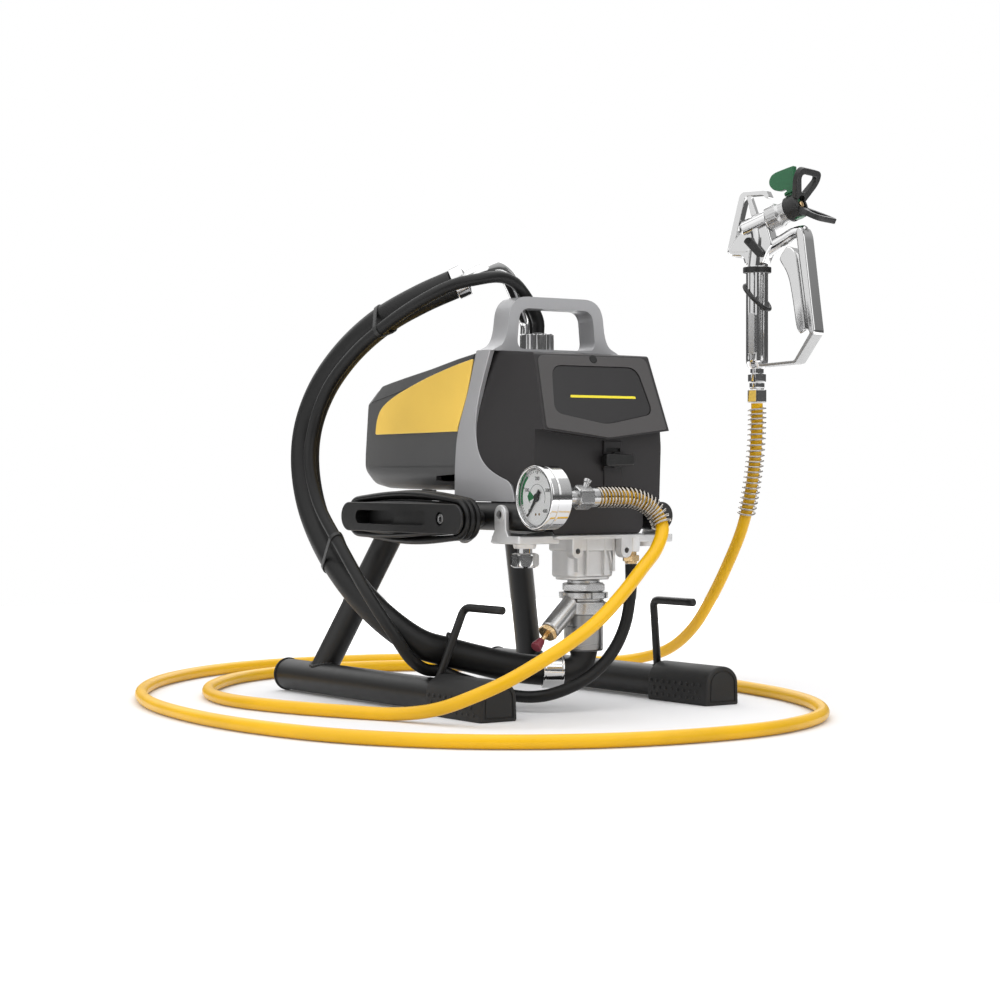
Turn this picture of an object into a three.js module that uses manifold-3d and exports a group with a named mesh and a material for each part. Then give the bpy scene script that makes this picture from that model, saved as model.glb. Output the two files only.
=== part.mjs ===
// Airless paint sprayer on a skid frame, with its gun, hoses and wound mains lead. Millimetres, +Z up.
// X runs across the machine, Y from front to back, and the floor is Z = 0 under the skid.
import * as THREE from "three";
import { mergeVertices } from "three/addons/utils/BufferGeometryUtils.js";
import Module from "manifold-3d";

const wasm = await Module();
wasm.setup();

// Clearances
const GAP = 0.4; // between pieces that touch or are fastened
const RUN = 0.5; // round a shaft or stem that turns or slides

// Skid frame
const SKID_X = 150.6;
const SKID_R = 17.9;
const SKID_WALL = 2.2;
const SKID_FLOOR_GAP = 1.5;
const SKID_Z = SKID_R + SKID_FLOOR_GAP;
const SKID_REAR = 257.7;
const PLUG_DOME = 7;
const PAD_FRONT = -181.3;
const PAD_LENGTH = 103.9;
const PAD_HALF = 23.2;
const PAD_HEIGHT = 43;
const PAD_NOSE = 32; // solid rubber ahead of the tube's end
const RAIL_X = 82;
const RAIL_R = 15.2;
const RAIL_Z = 209.5;
const RAIL_FRONT = -160;
const RAIL_CAP = 4;
const LEG_FOOT_Y = 181;
const HOOK_R = 4.4;

// Housing
const COVER_TOP_HALF = 76.5;
const VISOR_HALF = 84.2;
const COVER_LOW_HALF = 85.6;
const COVER_WALL = 3;
const VISOR_Z = 304.3;
const VISOR_TIP_Z = 292.5;
const COVER_LOW_FRONT = -153;
const COVER_BACK = -40;
const CHIN_Z = 226; // the wide part of the cover ends here, above the rails
const COVER_BOTTOM = 190.4;
const BAND_IN = 80.2;
const BAND_OUT = 86;
const HANDLE_HALF = 66;
const HANDLE_TOP = 448.5;
const HANDLE_BAR = 12.5;
const HANDLE_FRONT = -77;
const HANDLE_DEPTH = 28;
const SHROUD_HALF = 85;
const SHROUD_WALL = 3;

// Drive
const CRANK_Z = 235;
const GEAR_MODULE = 1.5;
const GEAR_TEETH = 48;
const PINION_TEETH = 12;
const MOTOR_Z = CRANK_Z + (GEAR_MODULE * (GEAR_TEETH + PINION_TEETH)) / 2;
const MOTOR_R = 36;
const SHAFT_R = 6;
const CRANK_THROW = 8;
const ROD_LENGTH = 38;

// Pump
const PUMP_Y = -126;
const BLOCK_BOTTOM = 141;
const FLANGE_TOP = 190;
const FLANGE_BOTTOM = 186;
const FLANGE_FRONT = -160;
const PISTON_R = 9;
const CYLINDER_BORE = 13;
const VALVE_R = 21.5;
const HOSE_START_Z = 42;

// Gauge and outlet
const GAUGE = new THREE.Vector3(-119.3, -198, 231);
const GAUGE_R = 33.5;
const GAUGE_DEPTH = 27.5;
const SPRAY_R = 7;

// Cord wrap
const WRAP_OUT = -141;
const WRAP_IN = -108;
const WRAP_FRONT = -98.5;
const WRAP_REAR = 147.7;
const WRAP_HALF = 16.3;
const CORE_HALF = 8;

// Suction side
const SUCTION_R = 16;
const RETURN_R = 6.5;
const PIPE_R = 8.5;
const MAINS_R = 3.5;
const STRAINER = new THREE.Vector3(8, -29, 389.6);
const STRAINER_R = 19;

// Gun, in its own frame: +X towards the muzzle, the handle's axis at the origin, floor heights kept
const GUN_PLACE = new THREE.Vector3(336.6, -26.5, 0);
const GUN_HEADING = -70;
const BARREL_TILT = 20;
const BARREL_Z = 553.2;
const GRIP_R = 13.2;
const BODY_HALF = 10;
const STRAP_HALF = 12.5;

const FINISH = {
  black: new THREE.MeshStandardMaterial({ color: 0x303030, roughness: 0.45, metalness: 0.3 }),
  rubber: new THREE.MeshStandardMaterial({ color: 0x3a3a3a, roughness: 0.8 }),
  charcoal: new THREE.MeshStandardMaterial({ color: 0x3e3c3d, roughness: 0.5 }),
  grey: new THREE.MeshStandardMaterial({ color: 0x5a5a5a, roughness: 0.5 }),
  silver: new THREE.MeshStandardMaterial({ color: 0xa2a2a4, roughness: 0.4, metalness: 0.5 }),
  cast: new THREE.MeshStandardMaterial({ color: 0xbebcb9, roughness: 0.45, metalness: 0.6 }),
  steel: new THREE.MeshStandardMaterial({ color: 0x8f9092, roughness: 0.3, metalness: 0.9 }),
  chrome: new THREE.MeshStandardMaterial({ color: 0xd8d8d8, roughness: 0.12, metalness: 1 }),
  brass: new THREE.MeshStandardMaterial({ color: 0xd9ae6a, roughness: 0.3, metalness: 0.9 }),
  yellow: new THREE.MeshStandardMaterial({ color: 0xfccf5f, roughness: 0.4 }),
  hose: new THREE.MeshStandardMaterial({ color: 0xf9c81e, roughness: 0.4 }),
  red: new THREE.MeshStandardMaterial({ color: 0x781e32, roughness: 0.4 }),
  green: new THREE.MeshStandardMaterial({ color: 0x3c6e50, roughness: 0.5 }),
  board: new THREE.MeshStandardMaterial({ color: 0x2f6a45, roughness: 0.6 }),
  clear: new THREE.MeshStandardMaterial({ color: 0xf2f4f4, roughness: 0.05, transparent: true, opacity: 0.3 }),
};

const v = (x, y, z) => new THREE.Vector3(x, y, z);
const mm = (x, y) => new THREE.Vector2(x, y);

// ---- solids ---------------------------------------------------------------------------------------------------

// A closed geometry as a solid, turned to face out.
function solid(geometry) {
  const bare = geometry.clone();
  bare.deleteAttribute("normal");
  bare.deleteAttribute("uv");
  const merged = mergeVertices(bare, 1e-3);
  const triVerts = new Uint32Array(merged.index.array);
  const vertProperties = merged.attributes.position.array;
  const made = new wasm.Manifold(new wasm.Mesh({ numProp: 3, vertProperties, triVerts }));
  if (made.volume() > 0) return made;
  for (let i = 0; i < triVerts.length; i += 3) {
    [triVerts[i + 1], triVerts[i + 2]] = [triVerts[i + 2], triVerts[i + 1]];
  }
  return new wasm.Manifold(new wasm.Mesh({ numProp: 3, vertProperties, triVerts }));
}

const join = (...shapes) => shapes.reduce((a, b) => a.add(b));
const cut = (shape, ...tools) => tools.reduce((a, b) => a.subtract(b), shape);

function box(low, high) {
  const size = high.clone().sub(low);
  const middle = low.clone().add(high).multiplyScalar(0.5);
  return solid(new THREE.BoxGeometry(size.x, size.y, size.z).translate(middle.x, middle.y, middle.z));
}

// A turned piece: profile of (radius, distance) pairs, set on the line from a point along a direction.
function turned(profile, from, along, sides = 16) {
  const geometry = new THREE.LatheGeometry(profile.map(([r, d]) => mm(r, d)), sides);
  const turn = new THREE.Quaternion().setFromUnitVectors(v(0, 1, 0), along.clone().normalize());
  return solid(geometry.applyQuaternion(turn).translate(from.x, from.y, from.z));
}

function rod(radius, from, to, sides = 16) {
  const length = to.clone().sub(from).length();
  return turned([[0, 0], [radius, 0], [radius, length], [0, length]], from, to.clone().sub(from), sides);
}

function ring(inner, outer, from, to, sides = 16) {
  const length = to.clone().sub(from).length();
  const wall = [[inner, 0], [outer, 0], [outer, length], [inner, length], [inner, 0]];
  return turned(wall, from, to.clone().sub(from), sides);
}

// An outline of (first, second) pairs pulled along one axis: "x" takes (y, z), "y" takes (x, z), "z" takes (x, y).
function prism(outline, axis, low, high) {
  const shape = new THREE.Shape(outline.map(([a, b]) => mm(a, b)));
  const geometry = new THREE.ExtrudeGeometry(shape, { depth: high - low, bevelEnabled: false, curveSegments: 6 });
  const place = new THREE.Matrix4();
  if (axis === "x") place.makeBasis(v(0, 1, 0), v(0, 0, 1), v(1, 0, 0)).setPosition(low, 0, 0);
  if (axis === "y") place.makeBasis(v(1, 0, 0), v(0, 0, 1), v(0, -1, 0)).setPosition(0, high, 0);
  if (axis === "z") place.setPosition(0, 0, low);
  return solid(geometry.applyMatrix4(place));
}

// Points of an arc about a centre, in degrees, for an outline.
function arc(centreA, centreB, radiusA, radiusB, from, to, steps = 5) {
  return Array.from({ length: steps + 1 }, (_, i) => {
    const t = THREE.MathUtils.degToRad(from + ((to - from) * i) / steps);
    return [centreA + radiusA * Math.cos(t), centreB + radiusB * Math.sin(t)];
  });
}

// A round section pulled along a route.
function tube(route, radius, sides = 12, steps = 24) {
  const curve = Array.isArray(route) ? new THREE.CatmullRomCurve3(route, false, "centripetal") : route;
  const section = new THREE.Shape(arc(0, 0, radius, radius, 0, 360 - 360 / sides, sides - 1).map((p) => mm(...p)));
  return solid(new THREE.ExtrudeGeometry(section, { steps, extrudePath: curve, bevelEnabled: false }));
}

// Sections of equal point count, joined by quads and closed by a fan at each end.
function loft(sections) {
  const count = sections[0].length;
  const points = sections.flat();
  const index = [];
  for (let s = 0; s + 1 < sections.length; s++) {
    for (let i = 0; i < count; i++) {
      const a = s * count + i;
      const b = s * count + ((i + 1) % count);
      index.push(a, b, a + count, b, b + count, a + count);
    }
  }
  const last = (sections.length - 1) * count;
  for (let i = 1; i + 1 < count; i++) {
    index.push(0, i + 1, i, last, last + i, last + i + 1);
  }
  const geometry = new THREE.BufferGeometry().setFromPoints(points);
  geometry.setIndex(index);
  return solid(geometry);
}

function add(parent, name, shape, finish) {
  const made = shape.getMesh();
  const geometry = new THREE.BufferGeometry();
  geometry.setAttribute("position", new THREE.BufferAttribute(new Float32Array(made.vertProperties), 3));
  geometry.setIndex(new THREE.BufferAttribute(new Uint32Array(made.triVerts), 1));
  geometry.computeVertexNormals();
  const mesh = new THREE.Mesh(geometry, FINISH[finish]);
  mesh.name = name;
  parent.add(mesh);
  return mesh;
}

// ---- skid frame -----------------------------------------------------------------------------------------------

function skidTube(side) {
  const front = v(side * SKID_X, PAD_FRONT + PAD_NOSE, SKID_Z);
  const rear = v(side * SKID_X, SKID_REAR - PLUG_DOME - GAP, SKID_Z);
  return ring(SKID_R - SKID_WALL, SKID_R, front, rear);
}

// Domed plug; its collar is what the rear of the skid stands on.
function skidPlug(side) {
  const spigot = SKID_R - SKID_WALL - GAP;
  const profile = [[0, -14], [spigot, -14], [spigot, 0], [SKID_Z, 0], [SKID_Z, 2], [SKID_R * 0.8, PLUG_DOME - 1.5]];
  return turned([...profile, [SKID_R * 0.4, PLUG_DOME], [0, PLUG_DOME]],
    v(side * SKID_X, SKID_REAR - PLUG_DOME, SKID_Z), v(0, 1, 0));
}

function footPad(side) {
  const x = side * SKID_X;
  const shoulder = PAD_HEIGHT - PAD_HALF * 0.8;
  const top = arc(x, shoulder, PAD_HALF - 1, PAD_HALF * 0.8, 0, 180, 8);
  const outline = [[x - PAD_HALF, 0], [x + PAD_HALF, 0], ...top];
  const block = prism(outline, "y", PAD_FRONT, PAD_FRONT + PAD_LENGTH);
  const bore = v(x, PAD_FRONT + PAD_NOSE - GAP, SKID_Z);
  return cut(block, rod(SKID_R + GAP, bore, v(x, PAD_FRONT + PAD_LENGTH + 1, SKID_Z)));
}

// One bent tube: leg up from the skid, leaning in and forward, then a level rail to the front.
function legTube(side) {
  const foot = v(side * SKID_X, LEG_FOOT_Y, SKID_Z);
  const knee = v(side * 91, 126, 180);
  const shoulder = v(side * RAIL_X, 62, RAIL_Z);
  const corner = v(side * 84, 112, RAIL_Z + 3);
  const route = new THREE.CurvePath();
  route.add(new THREE.LineCurve3(foot, knee));
  route.add(new THREE.QuadraticBezierCurve3(knee, corner, shoulder));
  route.add(new THREE.LineCurve3(shoulder, v(side * RAIL_X, RAIL_FRONT + RAIL_CAP + GAP, RAIL_Z)));
  const skid = rod(SKID_R + GAP, v(side * SKID_X, 100, SKID_Z), v(side * SKID_X, 250, SKID_Z), 24);
  const socket = rod(RAIL_R - 2, v(side * RAIL_X, RAIL_FRONT, RAIL_Z), v(side * RAIL_X, RAIL_FRONT + 20, RAIL_Z));
  return cut(tube(route, RAIL_R, 12, 20), skid, socket);
}

function railPlug(side) {
  const spigot = RAIL_R - 2 - 2 * GAP;
  const profile = [[0, -14], [spigot, -14], [spigot, 0], [RAIL_R, 0], [RAIL_R, RAIL_CAP - 1.5]];
  return turned([...profile, [RAIL_R - 1.5, RAIL_CAP], [0, RAIL_CAP]],
    v(side * RAIL_X, RAIL_FRONT + RAIL_CAP, RAIL_Z), v(0, -1, 0));
}

function bentHook(side) {
  const foot = v(side * SKID_X, PAD_FRONT + PAD_LENGTH + 10, SKID_Z + SKID_R - 4);
  const bend = v(side * 129, -86, 113);
  const route = new THREE.CurvePath();
  const near = v(side * 131.5, -84.1, 104);
  const far = v(side * 129, -97, 113);
  route.add(new THREE.LineCurve3(foot, near));
  route.add(new THREE.QuadraticBezierCurve3(near, bend, far));
  route.add(new THREE.LineCurve3(far, v(side * 129, -158, 113)));
  const skid = rod(SKID_R + GAP, v(side * SKID_X, -100, SKID_Z), v(side * SKID_X, -20, SKID_Z), 24);
  return cut(tube(route, HOOK_R, 8, 14), skid);
}

function buildFrame(root) {
  const frame = new THREE.Group();
  root.add(frame);
  for (const [name, side] of [["left", -1], ["right", 1]]) {
    add(frame, name + "_skid_tube", skidTube(side), "black");
    add(frame, name + "_skid_plug", skidPlug(side), "rubber");
    add(frame, name + "_foot_pad", footPad(side), "rubber");
    add(frame, name + "_leg_tube", legTube(side), "black");
    add(frame, name + "_rail_plug", railPlug(side), "rubber");
    add(frame, name + "_bent_hook", bentHook(side), "black");
  }
}

// ---- housing --------------------------------------------------------------------------------------------------

// The band's outline on one side: front edge bowed, rear edge leaning, foot running forward under the side panel.
const BAND = [
  [-46, 390], [-30, 345], [-9, 304], [-4, 270], [-3, 230], [-118, 226.4], [-112, 246],
  [-84, 254], [-66, 262], [-52, 274], [-45, 292], [-43.5, 314], [-52, 345], [-73, 390],
];

// A corner's points round the opening or outside of the carrying handle, seen from the front.
function handleOutline(half, top, radius, foot) {
  return [
    [-half - foot, 389.8], [-half, 402], ...arc(-half + radius + 4, top - radius, radius, radius, 180, 90),
    ...arc(half - radius - 4, top - radius, radius, radius, 90, 0), [half, 402], [half + foot, 389.8],
  ];
}

// The room a band needs in the covers: its outline grown by the gap, from its inner face outward.
function bandSeat(side) {
  const grown = BAND.map(([y, z], i) => {
    const [y0, z0] = BAND[(i + BAND.length - 1) % BAND.length];
    const [y1, z1] = BAND[(i + 1) % BAND.length];
    const normal = mm(z0 - z1, y1 - y0).normalize();
    return [y + normal.x * 1.2 * GAP, z + normal.y * 1.2 * GAP];
  });
  const low = side * (BAND_IN - GAP);
  return prism(grown, "x", Math.min(low, side * 95), Math.max(low, side * 95));
}

function handleFrame() {
  const back = HANDLE_FRONT + HANDLE_DEPTH;
  const outer = prism(handleOutline(HANDLE_HALF, HANDLE_TOP, 18, BAND_OUT - HANDLE_HALF), "y", HANDLE_FRONT, back);
  const inner = handleOutline(HANDLE_HALF - HANDLE_BAR, HANDLE_TOP - HANDLE_BAR, 10, -4);
  const arch = cut(outer, prism([...inner, [HANDLE_HALF - 16, 380], [16 - HANDLE_HALF, 380]], "y",
    HANDLE_FRONT - 1, back + 1));
  const root = [[-77, 389.9], [-73, 386], [-46, 386], [-46, 392], [-77, 392]];
  const bands = [-1, 1].flatMap((side) => {
    const [low, high] = side < 0 ? [-BAND_OUT, -BAND_IN] : [BAND_IN, BAND_OUT];
    return [prism(BAND, "x", low, high), prism(root, "x", low, high)];
  });
  return join(arch, ...bands);
}

function frontCover() {
  const side = [
    [COVER_BACK, 387.5], [-72, 389], [-140.4, 384], [-175, 284], [COVER_LOW_FRONT, 282],
    [COVER_LOW_FRONT + 2, COVER_BOTTOM], [COVER_BACK, COVER_BOTTOM],
  ];
  const front = [
    [-COVER_TOP_HALF, 392], [-VISOR_HALF, VISOR_Z], [-COVER_LOW_HALF, 285], [-COVER_LOW_HALF + 1, CHIN_Z],
    [-62, CHIN_Z], [-62, COVER_BOTTOM + 8], [-56, COVER_BOTTOM - 1], [56, COVER_BOTTOM - 1], [62, COVER_BOTTOM + 8],
    [62, CHIN_Z], [COVER_LOW_HALF - 1, CHIN_Z], [COVER_LOW_HALF, 285], [VISOR_HALF, VISOR_Z], [COVER_TOP_HALF, 392],
  ];
  const body = prism(side, "x", -90, 90).intersect(prism(front, "y", -200, 0));
  const underVisor = [[-95, VISOR_Z - 1], [0, VISOR_TIP_Z], [95, VISOR_Z - 1], [95, 180], [-95, 180]];
  const recess = prism(underVisor, "y", -200, COVER_LOW_FRONT);
  const hollowSide = [
    [COVER_BACK + 1, 384], [-137, 380], [-160, 310], [COVER_LOW_FRONT + COVER_WALL, 290],
    [COVER_LOW_FRONT + COVER_WALL, 180], [COVER_BACK + 1, 180],
  ];
  const hollowFront = [[-73, 386], [-78, 300], [-78, 229.4], [-59, 229.4], [-59, 180],
    [59, 180], [59, 229.4], [78, 229.4], [78, 300], [73, 386]];
  const hollow = prism(hollowSide, "x", -90, 90).intersect(prism(hollowFront, "y", -200, 0));
  const bandSeats = [-1, 1].map((s) => bandSeat(s));
  // What is left of the side wall behind the band is cut away, so the band is the edge.
  const behind = [[-44, 392], [-47, 340], [-43, 300], [-50, 274], [-66, 260], [-114, 244], [-118.6, 224], [-30, 224], [-30, 392]];
  const trims = [-1, 1].map((s) => prism(behind, "x", Math.min(s * 95, s * (BAND_IN - GAP)),
    Math.max(s * 95, s * (BAND_IN - GAP))));
  const knobHole = rod(6.5, v(KNOB.x, -160, KNOB.z), v(KNOB.x, -140, KNOB.z));
  const nippleHole = rod(7 + GAP, v(NIPPLE_X, -160, GAUGE.z), v(NIPPLE_X, -140, GAUGE.z));
  const switchHole = box(v(70, SWITCH.y - 11, SWITCH.z - 8), v(95, SWITCH.y + 11, SWITCH.z + 8));
  const dialHole = rod(4.5, v(70, DIAL.y, DIAL.z), v(95, DIAL.y, DIAL.z));
  const plateSeat = labelPlate(GAP);
  return cut(body, recess, hollow, ...bandSeats, ...trims, knobHole, nippleHole, switchHole, dialHole, plateSeat);
}

const KNOB = v(19.6, COVER_LOW_FRONT, 270.3);
const NIPPLE_X = -52;
const SWITCH = v(85, -108, 300);
const DIAL = v(83, -110, 345);

// Blank shield-shaped plate let into the leaning front of the cover.
function labelPlate(grow = 0) {
  const lean = new THREE.Vector3(0, -27.9, -79.7).normalize();
  const out = new THREE.Vector3(0, -79.7, 27.9).normalize();
  const outline = [[-56.4, 370], [56.4, 370], [65.8, 320.7], [0, 309], [-65.8, 320.7]];
  const shape = new THREE.Shape(outline.map(([x, z]) => mm(x * (1 + grow / 60), (384 - z) / -lean.z)));
  const geometry = new THREE.ExtrudeGeometry(shape, { depth: 1.4 + grow, bevelEnabled: false });
  const basis = new THREE.Matrix4().makeBasis(v(1, 0, 0), lean, out);
  const sunk = out.clone().multiplyScalar(-1 - grow).add(v(0, -140.4, 384));
  return solid(geometry.applyMatrix4(basis.setPosition(sunk)));
}

// One section of the rear shroud across the machine, at a place along it.
function shroudSection(y, half, low, high, shoulder, wall) {
  const h = half - wall;
  const bottom = low + wall;
  const top = high - wall;
  return [
    v(-h + 12, y, bottom), v(h - 12, y, bottom), v(h, y, bottom + 12), v(h, y, top - shoulder),
    v(h - shoulder * 0.8, y, top), v(-h + shoulder * 0.8, y, top), v(-h, y, top - shoulder), v(-h, y, bottom + 12),
  ];
}

function rearShroud() {
  const stations = [
    [COVER_BACK + GAP, 84.8, 237, 387, 5], [0, SHROUD_HALF, 237, 382, 8], [60, SHROUD_HALF, 237, 373, 13],
    [120, SHROUD_HALF, 237.5, 362, 18], [146, 84.6, 239, 357, 20], [163, 83.5, 246, 353, 21], [176, 80, 257, 335, 21],
    [182, 77, 270, 315, 18],
  ];
  const outside = loft(stations.map(([y, half, low, high, s]) => shroudSection(y, half, low, high, s, 0)));
  const inside = loft([
    shroudSection(COVER_BACK - 5, 84.8, 237, 387, 5, SHROUD_WALL + 2),
    ...stations.slice(1, 6).map(([y, half, low, high, s]) => shroudSection(y - 3, half, low, high, s, SHROUD_WALL + 2)),
  ]);
  const ahead = [[-44, 392], [-47, 340], [-12, 304], [-8, 270], [-7, 224], [-60, 224], [-60, 392]];
  const seats = [-1, 1].flatMap((s) => {
    const low = Math.min(s * 95, s * (BAND_IN - GAP));
    const high = Math.max(s * 95, s * (BAND_IN - GAP));
    return [bandSeat(s), prism(ahead, "x", low, high)];
  });
  return cut(outside, inside, ...seats);
}

// Yellow panel on the shroud's side: level foot, rounded tail, long rising crown.
function sidePanel(side) {
  const outline = [
    [-6, 302], [160, 300.5], [158, 314], [151, 329], [140, 335.5], [120, 341], [60, 356], [0, 370.5], [-36, 377],
    [-25, 345], [-6, 308],
  ];
  const face = SHROUD_HALF + GAP;
  return prism(outline, "x", Math.min(side * face, side * (face + 1)), Math.max(side * face, side * (face + 1)));
}

function buildHousing(root) {
  const housing = new THREE.Group();
  root.add(housing);
  add(housing, "handle_frame", handleFrame(), "silver");
  add(housing, "front_cover", frontCover(), "charcoal");
  add(housing, "front_label_plate", labelPlate(), "black");
  add(housing, "rear_shroud", rearShroud(), "grey");
  add(housing, "left_side_panel", sidePanel(-1), "yellow");
  add(housing, "right_side_panel", sidePanel(1), "yellow");
}

// ---- drive ----------------------------------------------------------------------------------------------------

// Toothed outline about a centre; the teeth are slimmer than their spaces, which leaves backlash.
function toothed(teeth, centreX, centreZ, phase) {
  const pitch = (GEAR_MODULE * teeth) / 2;
  const shares = [[-0.26, pitch - 1.9], [-0.13, pitch + 1.1], [0.13, pitch + 1.1], [0.26, pitch - 1.9]];
  return Array.from({ length: teeth }, (_, i) =>
    shares.map(([share, r]) => {
      const t = ((i + share + phase) * 2 * Math.PI) / teeth;
      return [centreX + r * Math.sin(t), centreZ + r * Math.cos(t)];
    })).flat();
}

function buildDrive(root) {
  const drive = new THREE.Group();
  root.add(drive);
  const at = (y, z = CRANK_Z, x = 0) => v(x, y, z);

  const yoke = ring(27, MOTOR_R, at(30, MOTOR_Z), at(128, MOTOR_Z), 24);
  const bell = ring(SHAFT_R + RUN, MOTOR_R, at(24, MOTOR_Z), at(30.5, MOTOR_Z), 24);
  add(drive, "motor_body", join(yoke, bell), "steel");

  const core = rod(25, at(40, MOTOR_Z), at(118, MOTOR_Z), 20);
  const shaft = rod(SHAFT_R, at(-56, MOTOR_Z), at(146, MOTOR_Z), 12);
  const pinion = prism(toothed(PINION_TEETH, 0, MOTOR_Z, 0), "y", -72, -56);
  const blades = [0, 30, 60, 90, 120, 150].map((deg) => {
    const blade = new THREE.BoxGeometry(64, 10, 2.4).rotateY(THREE.MathUtils.degToRad(deg));
    return solid(blade.translate(0, 137, MOTOR_Z));
  });
  add(drive, "motor_rotor", join(core, shaft, pinion, ...blades), "steel");

  const gear = prism(toothed(GEAR_TEETH, 0, CRANK_Z, 0.5), "y", -69, -59);
  add(drive, "main_gear", cut(gear, rod(SHAFT_R + GAP, at(-80), at(-40), 12)), "steel");

  const pin = rod(4, at(-119.5, CRANK_Z + CRANK_THROW), at(-111, CRANK_Z + CRANK_THROW), 12);
  add(drive, "crankshaft", join(rod(SHAFT_R, at(-106), at(-48), 12), rod(16, at(-112), at(-104), 20), pin), "steel");

  const eyeZ = CRANK_Z + CRANK_THROW;
  const pinZ = eyeZ - ROD_LENGTH;
  const eyes = join(rod(11, at(-130, eyeZ), at(-120, eyeZ)), rod(7, at(-130, pinZ), at(-120, pinZ)),
    box(v(-4, -128, pinZ), v(4, -122, eyeZ)));
  add(drive, "connecting_rod", cut(eyes, rod(4.5, at(-140, eyeZ), at(-110, eyeZ), 12),
    rod(3.5, at(-140, pinZ), at(-110, pinZ), 12)), "steel");

  const axis = (z) => v(0, PUMP_Y, z);
  const cheeks = [[-133.5, -130.5], [-119.5, -116.5]].map(([a, b]) => box(v(-6, a, pinZ - 12), v(6, b, pinZ + 6)));
  add(drive, "piston_rod", join(rod(PISTON_R, axis(92), axis(pinZ - 8.5)), rod(12.4, axis(94), axis(106)),
    rod(3, at(-133.5, pinZ), at(-116.5, pinZ), 12), ...cheeks), "steel");

  const chips = [[-34, 300], [-8, 312], [20, 304]].map(([x, z]) => box(v(x, -104, z), v(x + 16, -96, z + 14)));
  add(drive, "control_board", join(box(v(-52, -106, 312), v(52, -103.5, 362)),
    ...chips.map((c) => c.translate([0, -2, 18]))), "board");
}

// ---- gear casting and pump ------------------------------------------------------------------------------------

const RETURN_X = 46.5;
const RETURN_Y = -150;
const FILTER = v(-82, -131, 182);

function gearCasting() {
  const shell = cut(box(v(-57, -146, FLANGE_BOTTOM), v(57, -46, 300)), box(v(-53, -142, 192), v(53, -50, 301)));
  const flange = box(v(-60, FLANGE_FRONT, FLANGE_BOTTOM), v(60, -46, FLANGE_TOP - 0.2));
  const wings = [-1, 1].map((s) => box(v(Math.min(s * 104, s * 50), -152, 181), v(Math.max(s * 104, s * 50), -100, 189.8)));
  // An ear on each side runs up outside the rail, with the bolt hole that clamps the rail.
  const ears = [-1, 1].map((s) => {
    const outline = [[-136, 182], [-100, 182], [-100, 206], ...arc(-116, 212, 13, 13, 20, 160), [-134, 206]];
    return prism(outline, "x", Math.min(s * 104, s * 99), Math.max(s * 104, s * 99));
  });
  const earHoles = [-1, 1].map((s) => rod(4.6, v(Math.min(s * 94, s * 110), -116, 212), v(Math.max(s * 94, s * 110), -116, 212)));
  const block = prism([[-30, -139], [-24, -145], [24, -145], [30, -139], [30, -107], [-30, -107]], "z",
    BLOCK_BOTTOM + 3, 188);
  const foot = prism([[-27, -137], [-22, -142], [22, -142], [27, -137], [27, -110], [-27, -110]], "z", BLOCK_BOTTOM, 150);
  const ribs = [-12, 12].map((x) => box(v(x - 1.6, -148, 146), v(x + 1.6, -140, 187)));
  const lugs = [-33, 33].map((x) => prism([[x - 7, 189], ...arc(x, 172, 7, 8, 180, 360), [x + 7, 189]], "y",
    FLANGE_FRONT, FLANGE_FRONT + 12));
  const lugHoles = [-33, 33].map((x) => rod(3, v(x, FLANGE_FRONT - 1, 173), v(x, FLANGE_FRONT + 13, 173), 12));
  const boss = rod(9, v(RETURN_X, RETURN_Y, 171), v(RETURN_X, RETURN_Y, 188));
  const fittingRoom = rod(9.6, v(RETURN_X, RETURN_Y, 150), v(RETURN_X, RETURN_Y, 168));
  const bearing = rod(11, v(0, -90, CRANK_Z), v(0, -76, CRANK_Z));
  const post = box(v(-5, -90, 190), v(5, -76, CRANK_Z));
  const bores = [
    rod(PISTON_R + RUN, v(0, PUMP_Y, 130), v(0, PUMP_Y, 195)),
    rod(13, v(0, PUMP_Y, 172), v(0, PUMP_Y, 195)),
    rod(SHAFT_R + RUN, v(0, -120, CRANK_Z), v(0, -70, CRANK_Z)),
    rod(SHAFT_R + RUN, v(0, -52, CRANK_Z), v(0, -40, CRANK_Z)),
    rod(SHAFT_R + 6, v(0, -60, MOTOR_Z), v(0, -40, MOTOR_Z)),
    rod(8, v(NIPPLE_X, -150, GAUGE.z), v(NIPPLE_X, -140, GAUGE.z)),
  ];
  return cut(join(shell, flange, ...wings, ...ears, block, foot, ...ribs, ...lugs, boss, bearing, post),
    ...earHoles, ...lugHoles, ...bores, fittingRoom);
}

// The pusher's line: out of the valve body, down and to the left.
const PUSH_FROM = v(0, PUMP_Y, 131);
const PUSH_ALONG = v(-0.77, -0.15, -0.62).normalize();
const alongPush = (t) => PUSH_FROM.clone().addScaledVector(PUSH_ALONG, t);

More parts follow.
